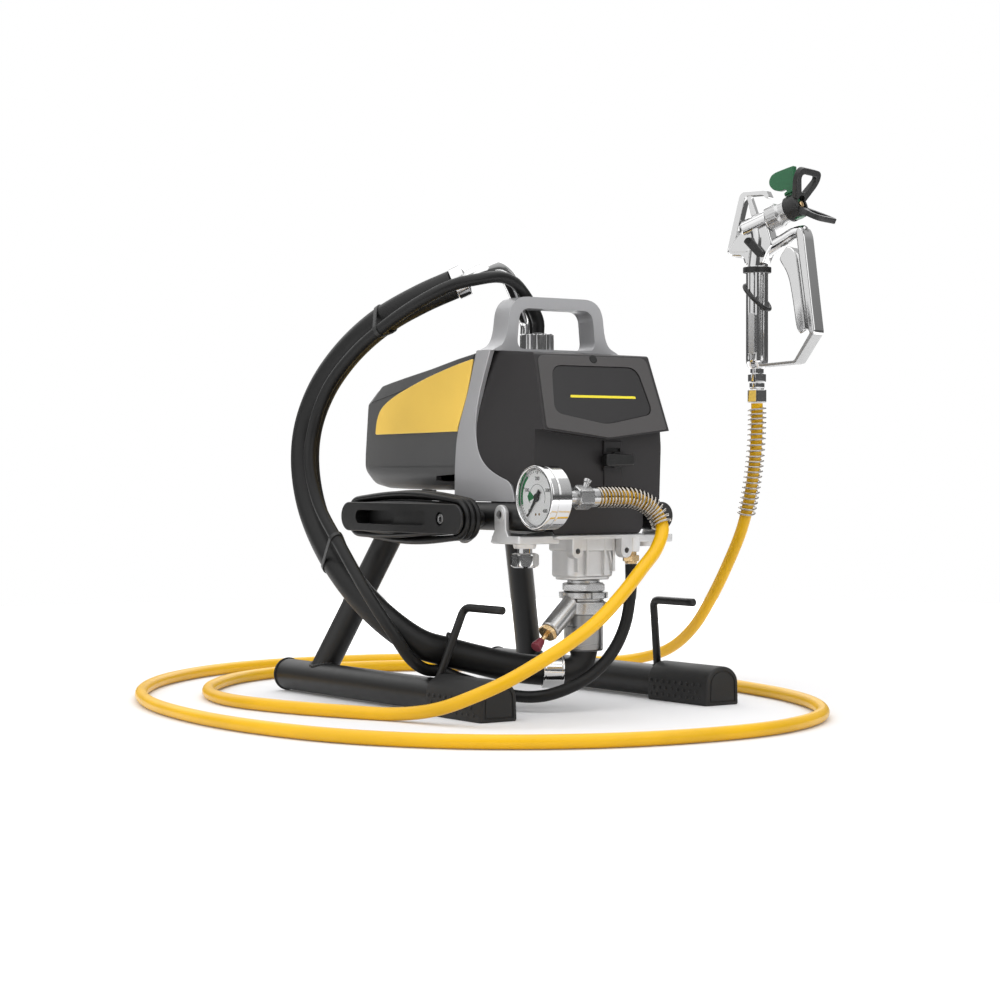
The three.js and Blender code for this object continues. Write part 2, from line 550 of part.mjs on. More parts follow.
function buildPump(root) {
  const pump = new THREE.Group();
  root.add(pump);
  const axis = (z) => v(0, PUMP_Y, z);
  add(pump, "gear_casting", gearCasting(), "cast");
  add(pump, "pump_lock_nut", cut(rod(25, axis(128), axis(137.5), 6), rod(18, axis(120), axis(140))), "steel");

  const barrel = turned([
    [CYLINDER_BORE, 104], [25.5, 104], [25.5, 117], [22, 118], [22, 120.5], [26.5, 121], [26.5, 127.5], [17.5, 127.5],
    [17.5, BLOCK_BOTTOM - GAP], [CYLINDER_BORE, BLOCK_BOTTOM - GAP], [CYLINDER_BORE, 104],
  ], v(0, PUMP_Y, 0), v(0, 0, 1), 20);
  add(pump, "pump_cylinder", barrel, "steel");

  const valve = turned([[9, 64], [20, 64], [VALVE_R, 66], [VALVE_R, 90], [20.5, 91], [20.5, 104 - GAP],
    [CYLINDER_BORE, 104 - GAP], [CYLINDER_BORE, 72], [9, 72], [9, 64]], v(0, PUMP_Y, 0), v(0, 0, 1), 20);
  add(pump, "inlet_valve_body", valve, "steel");

  const clear = [rod(27.2, axis(103), axis(140), 24), rod(VALVE_R + GAP, axis(50), axis(110), 24)];
  const housing = cut(rod(13, alongPush(24), alongPush(62), 16), ...clear, rod(3.2, alongPush(48), alongPush(63), 12));
  add(pump, "pusher_housing", largest(housing), "steel");
  add(pump, "pusher_nut", cut(rod(12, alongPush(62.4), alongPush(69), 6), rod(3.2, alongPush(60), alongPush(72), 12)), "brass");
  add(pump, "pusher_button", join(rod(2.6, alongPush(56), alongPush(88), 12), rod(5.6, alongPush(86), alongPush(97), 12)), "red");

  const bend = new THREE.QuadraticBezierCurve3(axis(64 - GAP), axis(HOSE_START_Z), SUCTION[0].clone().add(v(1.4, -0.8, 0)));
  add(pump, "suction_elbow", tube(bend, 13.5, 12, 8), "rubber");
  const clampEnd = SUCTION[0].clone().lerp(SUCTION[1], 1);
  add(pump, "suction_clamp", ring(SUCTION_R + GAP + 0.6, 19.4, SUCTION[0].clone(), clampEnd, 20), "chrome");

  const fitting = turned([[0, 158], [6.6, 158], [6.6, 161], [9, 161], [9, 167], [6, 167], [6, 170.6], [0, 170.6]],
    v(RETURN_X, RETURN_Y, 0), v(0, 0, 1), 12);
  add(pump, "return_fitting", fitting, "brass");
  const plug = turned([[0, 156], [13, 156], [15, 158], [15, 173], [13, 175], [9, 175], [9, 181 - GAP], [0, 181 - GAP]],
    v(FILTER.x, FILTER.y, 0), v(0, 0, 1), 6);
  add(pump, "filter_plug", plug, "chrome");
}

const largest = (shape) => shape.decompose().sort((a, b) => b.volume() - a.volume())[0];

// ---- gauge, tee and controls ----------------------------------------------------------------------------------

function buildFront(root) {
  const front = new THREE.Group();
  root.add(front);
  const inward = v(1, 0, 0);
  const rim = GAUGE_R - 3.5;
  const shell = [[0, 6], [rim, 6], [rim, 0], [GAUGE_R - 1.5, 0], [GAUGE_R, 1.5], [GAUGE_R, 8], [GAUGE_R - 0.8, 9],
    [GAUGE_R - 0.8, GAUGE_DEPTH - 2], [GAUGE_R - 3, GAUGE_DEPTH], [0, GAUGE_DEPTH]];
  const hub = rod(1.6, GAUGE.clone().add(v(2.6, 0, 0)), GAUGE.clone().add(v(6.5, 0, 0)), 8);
  add(front, "gauge_case", join(turned(shell, GAUGE, inward, 28), hub), "chrome");
  add(front, "gauge_lens", turned([[0, 0.6], [rim - GAP, 0.6], [rim - GAP, 1.8], [0, 1.8]], GAUGE, inward, 28), "clear");
  const reach = rim - 6;
  const needle = prism([[-2.2, -7], [2.2, -7], [0.6, reach], [-0.6, reach]], "x", 0, 0.8);
  const boss = rod(4, v(0, 0, 0), v(0.8, 0, 0), 12);
  const bored = cut(join(needle, boss), rod(1.6 + RUN, v(-1, 0, 0), v(2, 0, 0), 8));
  const pointer = add(front, "gauge_pointer", bored, "black");
  pointer.position.copy(GAUGE).add(v(3.8, 0, 0));
  pointer.rotation.x = THREE.MathUtils.degToRad(-142);

  const back = GAUGE.x + GAUGE_DEPTH + GAP;
  const line = (x) => v(x, GAUGE.y, GAUGE.z);
  const tee = join(rod(7, line(back), line(-66), 12), rod(13, line(-66), line(-47), 6), rod(10.5, line(-48), line(-38.5), 12),
    rod(7, v(NIPPLE_X, GAUGE.y, GAUGE.z), v(NIPPLE_X, -146 - GAP, GAUGE.z), 12));
  add(front, "outlet_tee", tee, "chrome");

  const knobFront = KNOB.y - 14;
  const bar = box(v(KNOB.x - 19, knobFront, KNOB.z - 7), v(KNOB.x + 19, KNOB.y - 2, KNOB.z + 7));
  add(front, "prime_knob", join(bar, rod(6, v(KNOB.x, KNOB.y - 3, KNOB.z), v(KNOB.x, KNOB.y + 2.6, KNOB.z), 12)), "black");
  const grip = turned([[0, 0], [17, 0], [17, 3], [15, 15], [13.5, 17], [0, 17]], v(DIAL.x, DIAL.y, DIAL.z), v(1, 0, 0), 16);
  add(front, "pressure_knob", join(grip, rod(4, v(DIAL.x - 6, DIAL.y, DIAL.z), v(DIAL.x + 1, DIAL.y, DIAL.z), 12)), "black");
  const rocker = [[-3, -6], [1.2, -6.8], [2.2, 0], [3.6, 6.4], [-3, 6]];
  const cap = prism(rocker.map(([x, z]) => [SWITCH.x + x, SWITCH.z + z]), "y", SWITCH.y - 9.5, SWITCH.y + 9.5);
  add(front, "power_switch", cap, "red");
}

// ---- cord wrap, cords and suction side ------------------------------------------------------------------------

// Lens-shaped outline of the wound lead, seen from the side.
function lens(front, rear, tipHalf, middleHalf, steps = 8) {
  const middle = (front + rear) / 2;
  const span = (rear - front) / 2;
  const swell = (t) => tipHalf + (middleHalf - tipHalf) * Math.cos((t * Math.PI) / 2) ** 1.2;
  const upper = Array.from({ length: steps + 1 }, (_, i) => {
    const t = -1 + (2 * i) / steps;
    return [middle + t * (span - tipHalf), RAIL_Z - 2.5 + swell(Math.abs(t))];
  });
  const rearEnd = arc(rear - tipHalf, RAIL_Z - 2.5, tipHalf, tipHalf, 60, -60, 4);
  const lower = upper.map(([y, z]) => [y, 2 * (RAIL_Z - 2.5) - z]).reverse();
  const frontEnd = arc(front + tipHalf, RAIL_Z - 2.5, tipHalf, tipHalf, 240, 120, 4);
  return [...upper, ...rearEnd, ...lower, ...frontEnd];
}

const WRAP_Z = RAIL_Z - 2.5;
const CORE_FRONT = WRAP_FRONT + 18;
const CORE_REAR = WRAP_REAR - 18;

function obround(front, rear, half) {
  return [...arc(rear - half, WRAP_Z, half, half, -90, 90, 6), ...arc(front + half, WRAP_Z, half, half, 90, 270, 6)];
}

function cordWrap() {
  const plate = prism(obround(WRAP_FRONT, WRAP_REAR, WRAP_HALF), "x", WRAP_OUT, WRAP_OUT + 3);
  const core = prism(obround(CORE_FRONT, CORE_REAR, CORE_HALF), "x", WRAP_OUT + 2, -RAIL_X - RAIL_R + 1);
  const leg = [legTube(-1)];
  const clearRail = rod(RAIL_R + GAP, v(-RAIL_X, -120, RAIL_Z), v(-RAIL_X, 70, RAIL_Z), 24);
  const bolt = rod(5, v(WRAP_OUT - 1, -56, WRAP_Z), v(WRAP_OUT + 12, -56, WRAP_Z), 12);
  const bend = box(v(-WRAP_IN - 300, 55, 150), v(-60, 160, 240));
  const inner = core.intersect(bend).intersect(box(v(WRAP_IN + 0.5, 50, 150), v(-60, 170, 240)));
  return largest(cut(join(plate, core), ...leg, clearRail, bolt, inner));
}

// Routes of the free hoses and the lead. The first point is where each leaves its fitting.
const SPRAY = [
  v(-38, -198, 231), v(-10, -199, 231), v(12, -201, 229), v(32, -206, 218), v(38, -214, 200), v(24, -223, 178),
  v(-4, -232, 156), v(-38, -241, 130), v(-74, -246, 104), v(-108, -246, 84), v(-142, -240, 65), v(-174, -229, 47),
  v(-200, -206, 31), v(-216, -165, 16), v(-232, -115, 8), v(-262, -50, 7.4), v(-290, 35, 7.4), v(-300, 120, 7.4),
  v(-280, 205, 7.4), v(-228, 290, 7.4), v(-140, 370, 7.4), v(-20, 410, 7.4), v(100, 388, 7.4), v(195, 318, 7.4),
  v(250, 215, 7.4), v(276, 100, 7.4), v(276, 0, 7.4), v(262, -90, 7.4), v(238, -190, 7.4), v(190, -290, 7.4),
  v(115, -375, 7.4), v(10, -428, 7.4), v(-100, -438, 7.4), v(-210, -415, 7.4), v(-305, -355, 7.4), v(-375, -255, 7.4),
  v(-408, -120, 7.4), v(-408, 20, 7.4), v(-380, 160, 7.4), v(-320, 290, 7.4), v(-220, 410, 7.4), v(-90, 490, 7.4),
  v(60, 505, 7.4), v(200, 460, 7.4), v(300, 375, 7.4), v(352, 285, 8), v(364, 215, 19), v(362, 165, 34),
  v(353, 112, 62), v(344, 68, 99), v(338, 28, 145), v(335, -2, 190), v(335, -16, 230), v(336, -24, 275),
  v(336.6, -26.5, 312), v(336.6, -26.5, 339.8),
];
const SUCTION = [
  v(-19, -115, 42), v(-42, -102, 43), v(-70, -84, 47), v(-100, -66, 55), v(-130, -52, 64), v(-155, -43, 72),
  v(-178, -26, 90), v(-193, 16, 121), v(-200, 72, 169), v(-201, 112, 220), v(-198, 131, 270), v(-192, 133, 310),
  v(-184, 116, 351), v(-172, 82, 390), v(-156, 35, 423), v(-131, -8, 447), v(-106, -31, 461.5),
];
const RETURN = [
  v(46.5, -150, 157.4), v(46, -151, 138), v(44, -151, 118), v(37, -152, 92), v(22, -152, 66), v(0, -150, 44),
  v(-28, -144, 28), v(-58, -130, 18), v(-80, -104, 18), v(-104, -76, 29), v(-122, -63, 36), v(-138, -55, 43.5),
  v(-154, -52, 45.2), v(-174, -53, 56.5), v(-194, -49, 84), v(-208, -24, 122), v(-214, 22, 172), v(-217, 70, 224), v(-216, 90, 270),
  v(-208, 94, 309), v(-199, 79, 350), v(-186, 44, 388), v(-169, -2, 420), v(-150, -40, 443), v(-127, -62, 458),
  v(-100, -70, 465), v(-72, -68, 469), v(-46, -58, 466), v(-21, -43, 456), v(-4, -40, 437), v(3, -39, 424),
  v(3, -39, 412),
];
const PIPE = [
  v(-106, -31, 461.5), v(-93, -41.5, 469), v(-77, -46, 477), v(-58, -42, 481), v(-36, -33, 474), v(-17, -24, 456),
  v(-3, -20, 434), v(2, -20, 422), v(2, -20, 411.6),
];
const LEAD = [
  v(-38, 122, 236.4), v(-39, 126, 222), v(-46, 138, 206), v(-62, 152, 196), v(-84, 164, 192), v(-104, 168, 196),
  v(-118, 164, 204), v(-123, 157, 206.5),
];
const TAIL = [
  v(-104, -66, 186), v(-98, -58, 183), v(-84, -42, 186), v(-66, -22, 190), v(-54, -2, 202), v(-48, 16, 212),
];

function buildCords(root) {
  const cords = new THREE.Group();
  root.add(cords);
  add(cords, "cord_wrap", cordWrap(), "black");
  const core = prism(obround(CORE_FRONT - GAP, CORE_REAR + GAP, CORE_HALF + GAP), "x", WRAP_OUT, WRAP_IN + 5);
  const wound = prism(lens(WRAP_FRONT - 9, WRAP_REAR + 6, 15, 28), "x", WRAP_OUT + 3 + GAP, WRAP_IN);
  add(cords, "mains_coil", largest(cut(wound, core)), "rubber");
  add(cords, "mains_lead", tube(LEAD, MAINS_R, 8, 12), "rubber");
  const plug = turned([[0, 0], [5, 0], [10, 14], [18, 18], [18, 46], [0, 46]], v(-47, 14, 211.6), v(0, 1, 0), 12);
  add(cords, "mains_plug", join(plug, tube(TAIL, MAINS_R, 8, 8)), "rubber");
  add(cords, "spray_hose", tube(SPRAY, SPRAY_R, 8, 80), "hose");
  add(cords, "suction_hose", tube(SUCTION, SUCTION_R, 12, 24), "rubber");
  add(cords, "return_hose", tube(RETURN, RETURN_R, 8, 44), "rubber");

  const start = PIPE[0].clone().lerp(PIPE[1], 0.06);
  const ferrule = rod(SUCTION_R + 2, start, PIPE[1]);
  add(cords, "suction_pipe", join(tube([start, ...PIPE.slice(1)], PIPE_R, 12, 20), ferrule), "chrome");
  const flutes = arc(0, 0, 1, 1, 0, 354, 59).map(([a, b], i) => {
    const r = i % 4 < 2 ? STRAINER_R : STRAINER_R - 1.2;
    return [STRAINER.x + a * r, STRAINER.y + b * r];
  });
  add(cords, "suction_strainer", prism(flutes, "z", STRAINER.z, STRAINER.z + 21.6), "chrome");
}

// ---- gun ------------------------------------------------------------------------------------------------------

const BARREL = v(Math.cos(THREE.MathUtils.degToRad(BARREL_TILT)), 0, Math.sin(THREE.MathUtils.degToRad(BARREL_TILT)));
const alongBarrel = (s) => v(0, 0, BARREL_Z).addScaledVector(BARREL, s);
const LIFT = v(-BARREL.z, 0, BARREL.x);
const TIP = alongBarrel(56);

function gunBody() {
  const grip = turned([[0, 365.4], [10.8, 365.4], [10.8, 375], [8, 376], [8, 381], [11, 384], [GRIP_R, 390], [GRIP_R, 508],
    [0, 508]], v(0, 0, 0), v(0, 0, 1), 16);
  const body = prism([
    [-38, 524], [-30, 516.5], [-16, 516.5], [-15, 505], [15, 505], [20, 516], [46, 529], [60, 537], [64, 543], [40, 546],
    [24, 546], [12, 570], [-2, 568], [-14, 552], [-31, 530],
  ], "y", -BODY_HALF, BODY_HALF);
  const hook = prism([
    [-38, 524], [-21, 590], [-16, 594], [15, 594], [19.5, 585], [14.5, 584], [11.5, 588.5], [-13, 588.5], [-29, 528],
  ], "y", -6, 6);
  const strut = prism([[-13, 590], [-8, 590], [1, 566], [-6, 564]], "y", -4, 4);
  const strap = prism([[60, 540], [77, 422], [56, 390], [9, 386.4], [9, 383.2], [58, 386.8], [81, 421], [64, 543]],
    "y", -STRAP_HALF, STRAP_HALF);
  const seat = rod(12.5, alongBarrel(-18), alongBarrel(18));
  const nutRoom = rod(15.4, alongBarrel(18 - GAP + 0.4), alongBarrel(46), 12);
  return cut(join(grip, body, hook, strut, strap, seat), nutRoom);
}

// One open wing of the guard, leaning forward at an angle above the level.
function guardWing(angle) {
  const outer = [[-9, 9], [9, 9], [26, 37], [22, 46], [-22, 46], [-26, 37]];
  const window = [[-4, 18], [4, 18], [18, 36], [16, 40], [-16, 40], [-18, 36]];
  const flat = cut(prism(outer, "z", -2.5, 2.5), prism(window, "z", -4, 4));
  const t = THREE.MathUtils.degToRad(angle);
  const lean = v(Math.cos(t), 0, Math.sin(t));
  const basis = new THREE.Matrix4().makeBasis(v(0, 1, 0), lean, v(0, 1, 0).cross(lean));
  return flat.transform(basis.setPosition(TIP).elements);
}

function tipGuard() {
  const saddle = rod(15.5, alongBarrel(45), alongBarrel(64), 20);
  const stem = rod(7, TIP.clone().addScaledVector(LIFT, -20), TIP.clone().addScaledVector(LIFT, 40), 12);
  const throat = rod(9, alongBarrel(55), alongBarrel(90), 12);
  const wings = [guardWing(67), guardWing(-24)];
  return cut(join(saddle, ...wings), stem, throat, rod(10.5, alongBarrel(44), alongBarrel(48)));
}

function buildGun(root) {
  const gun = new THREE.Group();
  gun.position.copy(GUN_PLACE);
  gun.rotation.z = THREE.MathUtils.degToRad(GUN_HEADING);
  root.add(gun);
  const up = (z) => v(0, 0, z);
  add(gun, "gun_connector", join(rod(12.5, up(341), up(356), 6), rod(9, up(355), up(365), 12)), "chrome");
  add(gun, "gun_body", gunBody(), "chrome");

  const trigger = prism([[44, 525], [50, 524.5], [57, 517], [69.5, 424], [62, 420], [57, 428], [46, 492], [34, 510], [36, 515]],
    "y", -9, 9);
  add(gun, "gun_trigger", trigger, "chrome");
  const lever = prism([[-11, 533], [-7, 538], [-1, 538], [16, 519], [15, 514], [8, 514]], "y", -15, -BODY_HALF - GAP);
  add(gun, "trigger_lock", lever, "black");
  const clip = join(ring(GRIP_R + GAP, 17, up(496), up(503)), ring(GRIP_R + GAP, 16.5, up(453), up(458)),
    cut(prism([[-35, 503], [-12, 503], [-12, 453], [-16.5, 453], [-20, 487], [-33, 491]], "y", -5, 5),
      rod(GRIP_R + GAP, up(440), up(510))));
  add(gun, "grip_clip", clip, "black");
  add(gun, "retaining_nut", turned([[0, 18.4], [15, 18.4], [15, 34], [13, 36], [13, 44], [0, 44]], alongBarrel(0), BARREL, 12),
    "steel");
  add(gun, "tip_guard", tipGuard(), "black");
  const onStem = (d) => TIP.clone().addScaledVector(LIFT, d);
  const flag = prism([[43, 588], [40, 594], [33, 591.5], [24, 593], [18, 599], [17.5, 606], [22, 613], [35, 617],
    [51, 621], [51, 606], [50, 590]], "y", -4, 4);
  const hub = rod(9, onStem(16), onStem(19.5), 12);
  add(gun, "spray_tip", join(flag.subtract(rod(40, onStem(-10), onStem(17))), rod(6.4, onStem(-15), onStem(17), 12), hub),
    "green");
}

const sprayer = new THREE.Group();
buildFrame(sprayer);
buildHousing(sprayer);
buildDrive(sprayer);
buildPump(sprayer);
buildFront(sprayer);
buildCords(sprayer);
buildGun(sprayer);

// The origin is the middle of the base, measured without the cords and what hangs on them.
const LOOSE = ["spray_hose", "suction_hose", "return_hose", "mains_lead", "mains_coil", "mains_plug"];
sprayer.updateMatrixWorld(true);
const bounds = new THREE.Box3();
sprayer.traverse((piece) => {
  if (piece.isMesh && !LOOSE.includes(piece.name)) bounds.expandByObject(piece, true);
});
const middle = bounds.getCenter(v(0, 0, 0));
sprayer.position.set(-middle.x, -middle.y, -bounds.min.z);

export default sprayer;
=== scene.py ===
# Airless paint sprayer: the looks of every piece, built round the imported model.
# Shapes are written in millimetres in the machine's own frame (X across, Y to the back, Z up) and placed by at().
import math

import bmesh
import bpy
from mathutils import Matrix, Vector


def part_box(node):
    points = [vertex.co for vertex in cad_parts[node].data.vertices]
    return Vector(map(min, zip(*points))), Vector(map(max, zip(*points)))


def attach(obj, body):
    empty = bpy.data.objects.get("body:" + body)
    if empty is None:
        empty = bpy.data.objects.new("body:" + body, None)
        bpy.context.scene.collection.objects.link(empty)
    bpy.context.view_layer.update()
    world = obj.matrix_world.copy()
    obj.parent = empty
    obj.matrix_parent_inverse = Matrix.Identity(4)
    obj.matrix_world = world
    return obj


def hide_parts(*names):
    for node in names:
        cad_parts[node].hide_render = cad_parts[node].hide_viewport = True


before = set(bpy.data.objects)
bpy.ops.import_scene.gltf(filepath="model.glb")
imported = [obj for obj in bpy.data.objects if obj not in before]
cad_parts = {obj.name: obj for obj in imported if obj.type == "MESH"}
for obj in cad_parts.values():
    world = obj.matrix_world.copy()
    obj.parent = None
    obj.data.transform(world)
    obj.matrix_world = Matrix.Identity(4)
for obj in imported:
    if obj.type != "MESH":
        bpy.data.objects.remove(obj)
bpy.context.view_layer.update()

left_tube_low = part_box("left_skid_tube")[0]
right_tube_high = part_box("right_skid_tube")[1]
ORIGIN = Vector(((left_tube_low[0] + right_tube_high[0]) / 2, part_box("left_skid_plug")[1][1] - 0.2577, 0))


def at(x, y, z):
    return ORIGIN + Vector((x, y, z)) * 0.001


# ---- camera ---------------------------------------------------------------------------------------------------

AIM_TURN = math.radians(35.078)
AIM_DOWN = math.radians(0.70583)
eye = bpy.data.cameras.new("studio_camera")
eye.lens = 83.3
eye.sensor_width = 36
eye.clip_end = 60
camera = bpy.data.objects.new("studio_camera", eye)
bpy.context.collection.objects.link(camera)
camera.location = at(-1514.473, -2125.226, 257.9)
aim = Vector((math.sin(AIM_TURN) * math.cos(AIM_DOWN), math.cos(AIM_TURN) * math.cos(AIM_DOWN),
              -math.sin(AIM_DOWN)))
camera.rotation_euler = aim.to_track_quat("-Z", "Y").to_euler()
bpy.context.scene.camera = camera

# ---- meshes ---------------------------------------------------------------------------------------------------


def mesh_object(name, points, faces):
    data = bpy.data.meshes.new(name)
    data.from_pydata([at(*p) for p in points], [], faces)
    made = bpy.data.objects.new(name, data)
    bpy.context.collection.objects.link(made)
    shape = bmesh.new()
    shape.from_mesh(data)
    bmesh.ops.recalc_face_normals(shape, faces=shape.faces)
    shape.to_mesh(data)
    shape.free()
    return made


def settle(made):
    """Applies an object's modifiers."""
    bpy.context.view_layer.update()
    graph = bpy.context.evaluated_depsgraph_get()
    data = bpy.data.meshes.new_from_object(made.evaluated_get(graph))
    made.modifiers.clear()
    made.data = data
    return made


def rounded(made, width, segments=3, angle=30):
    bevel = made.modifiers.new("edges", "BEVEL")
    bevel.width = width * 0.001
    bevel.segments = segments
    bevel.limit_method = "ANGLE"
    bevel.angle_limit = math.radians(angle)
    bevel.use_clamp_overlap = True
    return settle(made)


def discard(made):
    bpy.data.objects.remove(made, do_unlink=True)


def combine(made, tools, how):
    for tool in tools:
        step = made.modifiers.new("combine", "BOOLEAN")
        step.operation = how
        step.solver = "EXACT"
        step.object = tool
        settle(made)
        discard(tool)
    return made


def cut(made, *tools):
    return combine(made, tools, "DIFFERENCE")


def fuse(made, *parts):
    return combine(made, parts, "UNION")


def common(made, *tools):
    return combine(made, tools, "INTERSECT")


def gather(name, parts):
    """Several meshes as one object, without joining their surfaces."""
    shape = bmesh.new()
    for part in parts:
        shape.from_mesh(part.data)
        discard(part)
    data = bpy.data.meshes.new(name)
    shape.to_mesh(data)
    shape.free()
    made = bpy.data.objects.new(name, data)
    bpy.context.collection.objects.link(made)
    return made


def soften(outline, radius, steps=4, closed=True):
    """The outline with each corner rounded; radius is one number or one for each corner."""
    count = len(outline)
    result = []
    for i, corner in enumerate(outline):
        size = radius[i] if isinstance(radius, (list, tuple)) else radius
        if size <= 0 or (not closed and i in (0, count - 1)):
            result.append(tuple(corner))
            continue
        here = Vector(corner)
        before = Vector(outline[i - 1]) - here
        after = Vector(outline[(i + 1) % count]) - here
        first = here + before.normalized() * min(size, before.length * 0.48)
        last = here + after.normalized() * min(size, after.length * 0.48)
        for k in range(steps + 1):
            t = k / steps
            result.append(tuple(first * (1 - t) ** 2 + here * 2 * t * (1 - t) + last * t * t))
    return result


def arc(centre, radius, start, end, steps=8):
    angles = [math.radians(start + (end - start) * i / steps) for i in range(steps + 1)]
    return [(centre[0] + radius * math.cos(a), centre[1] + radius * math.sin(a)) for a in angles]


def prism(name, outline, axis, low, high):
    """An outline pulled along an axis: "x" takes (y, z), "y" takes (x, z), "z" takes (x, y)."""
    place = {"x": lambda a, b, d: (d, a, b), "y": lambda a, b, d: (a, d, b), "z": lambda a, b, d: (a, b, d)}[axis]
    count = len(outline)
    points = [place(a, b, d) for d in (low, high) for a, b in outline]
    faces = [tuple(range(count)), tuple(range(count, 2 * count))]
    faces += [(i, (i + 1) % count, count + (i + 1) % count, count + i) for i in range(count)]
    return mesh_object(name, points, faces)


def block(name, low, high, edge=0.8):
    outline = [(low[0], low[1]), (high[0], low[1]), (high[0], high[1]), (low[0], high[1])]
    made = prism(name, outline, "z", low[2], high[2])
    return rounded(made, edge) if edge else made


def turned(name, profile, base, along, sides=64, flute=None):
    """A turned piece: (radius, distance) pairs set on the line from base along a direction.
    flute(angle, radius, distance) may change the radius round the piece."""
    way = Vector(along).normalized()
    turn = Vector((0, 0, 1)).rotation_difference(way)
    base = Vector(base)
    closed = profile[0] == profile[-1] and profile[0][0] > 0
    rows = profile[:-1] if closed else profile
    points, faces, rings = [], [], []
    for radius, distance in rows:
        start = len(points)
        if radius <= 1e-6:
            points.append(tuple(base + way * distance))
            rings.append([start] * sides)
            continue
        for k in range(sides):
            angle = 2 * math.pi * k / sides
            r = flute(angle, radius, distance) if flute else radius
            points.append(tuple(base + turn @ Vector((r * math.cos(angle), r * math.sin(angle), distance))))
        rings.append(list(range(start, start + sides)))
    pairs = list(zip(rings, rings[1:])) + ([(rings[-1], rings[0])] if closed else [])
    for low, high in pairs:
        for k in range(sides):
            n = (k + 1) % sides
            corners = list(dict.fromkeys([low[k], low[n], high[n], high[k]]))
            if len(corners) > 2:
                faces.append(tuple(corners))
    for end in () if closed else (rings[0], rings[-1]):
        if end[0] != end[1]:
            faces.append(tuple(end))
    return mesh_object(name, points, faces)


def smooth_profile(profile, radius, steps=3):
    """A turned piece's profile with its corners rounded, its ends kept."""
    return soften(profile, radius, steps, closed=False)


def catmull(points, spacing=4.0):
    """Centripetal Catmull-Rom curve through the points, as points about a spacing apart."""
    p = [Vector(q) for q in points]
    p = [p[0] * 2 - p[1]] + p + [p[-1] * 2 - p[-2]]
    result = []
    for i in range(1, len(p) - 2):
        a, b, c, d = p[i - 1 : i + 3]
        ta, tb, tc = ((b - a).length ** 0.5, (c - b).length ** 0.5, (d - c).length ** 0.5)
        m = ((b - a) / ta - (c - a) / (ta + tb) + (c - b) / tb) * tb
        n = ((c - b) / tb - (d - b) / (tb + tc) + (d - c) / tc) * tb
        steps = max(2, round((c - b).length / spacing))
        for k in range(steps):
            t = k / steps
            result.append(b * (2 * t**3 - 3 * t**2 + 1) + m * (t**3 - 2 * t**2 + t)
                          + c * (3 * t**2 - 2 * t**3) + n * (t**3 - t**2))
    return result + [p[-2]]


def length_of(line):
    return sum((b - a).length for a, b in zip(line, line[1:]))


def frames(line):
    """A direction and two side vectors at each point of a line, turning as little as possible."""
    ways = []
    for i in range(len(line)):
        ways.append((line[min(i + 1, len(line) - 1)] - line[max(i - 1, 0)]).normalized())
    side = ways[0].orthogonal().normalized()
    result = []
    for i, way in enumerate(ways):
        if i:
            side = (ways[i - 1].rotation_difference(way) @ side).normalized()
        side = (side - way * side.dot(way)).normalized()
        result.append((way, side, way.cross(side)))
    return result


def tube(name, line, radius, sides=20, dome=0.0):
    """A round section along a line; radius is a number or a function of the share of its length."""
    line = [Vector(q) for q in line]
    axes = frames(line)
    total = length_of(line)
    run, shares = 0.0, [0.0]
    for a, b in zip(line, line[1:]):
        run += (b - a).length
        shares.append(run / total)
    rows = [(q, axes[i][1], axes[i][2], radius(shares[i]) if callable(radius) else radius)
            for i, q in enumerate(line)]
    if dome:
        for end, sign in ((0, -1), (-1, 1)):
            q, u, w, r = rows[end]
            way = axes[end][0] * sign
            caps = [(q + way * dome * math.sin(t), u, w, r * math.cos(t)) for t in (0.45, 0.9, 1.3)]
            rows = (rows + caps) if end else (caps[::-1] + rows)
    points = [tuple(q + (u * math.cos(a) + w * math.sin(a)) * r)
              for q, u, w, r in rows for a in (2 * math.pi * k / sides for k in range(sides))]
    faces = [(s * sides + k, s * sides + (k + 1) % sides, (s + 1) * sides + (k + 1) % sides, (s + 1) * sides + k)
             for s in range(len(rows) - 1) for k in range(sides)]
    faces += [tuple(range(sides)), tuple(range((len(rows) - 1) * sides, len(rows) * sides))]
    return mesh_object(name, points, faces)


def coil_line(line, radius, turns, steps=14):
    """A helix round a line."""
    axes = frames(line)
    total = turns * steps
    result = []
    for i in range(total + 1):
        place = i / total * (len(line) - 1)
        k = min(int(place), len(line) - 2)
        t = place - k
        angle = 2 * math.pi * i / steps
        q = line[k].lerp(line[k + 1], t)
        u = axes[k][1].lerp(axes[k + 1][1], t)
        w = axes[k][2].lerp(axes[k + 1][2], t)
        result.append(q + (u * math.cos(angle) + w * math.sin(angle)) * radius)
    return result


def bezier(a, b, c, steps=12):
    a, b, c = Vector(a), Vector(b), Vector(c)
    return [a * (1 - t) ** 2 + b * 2 * t * (1 - t) + c * t * t for t in (k / steps for k in range(steps + 1))]


# ---- finishes -------------------------------------------------------------------------------------------------


class Value:
    """A socket in a finish's nodes. Arithmetic on it adds the Math nodes."""

    def __init__(self, finish, socket):
        self.finish, self.socket = finish, socket

    def math(self, operation, *others):
        return self.finish.node("ShaderNodeMath", {"operation": operation}, dict(enumerate((self, *others))))

    def __add__(self, other):
        return self.math("ADD", other)

    def __sub__(self, other):
        return self.math("SUBTRACT", other)

    def __mul__(self, other):
        return self.math("MULTIPLY", other)

    def __truediv__(self, other):
        return self.math("DIVIDE", other)

    def __rsub__(self, other):
        return self.finish.node("ShaderNodeMath", {"operation": "SUBTRACT"}, {0: other, 1: self})

    __radd__ = __add__
    __rmul__ = __mul__

    def within(self, low, high):
        """0 below low, 1 above high, and a smooth rise between."""
        return self.finish.node("ShaderNodeMapRange", {"interpolation_type": "SMOOTHSTEP"},
                                {"Value": self, "From Min": low, "From Max": high})


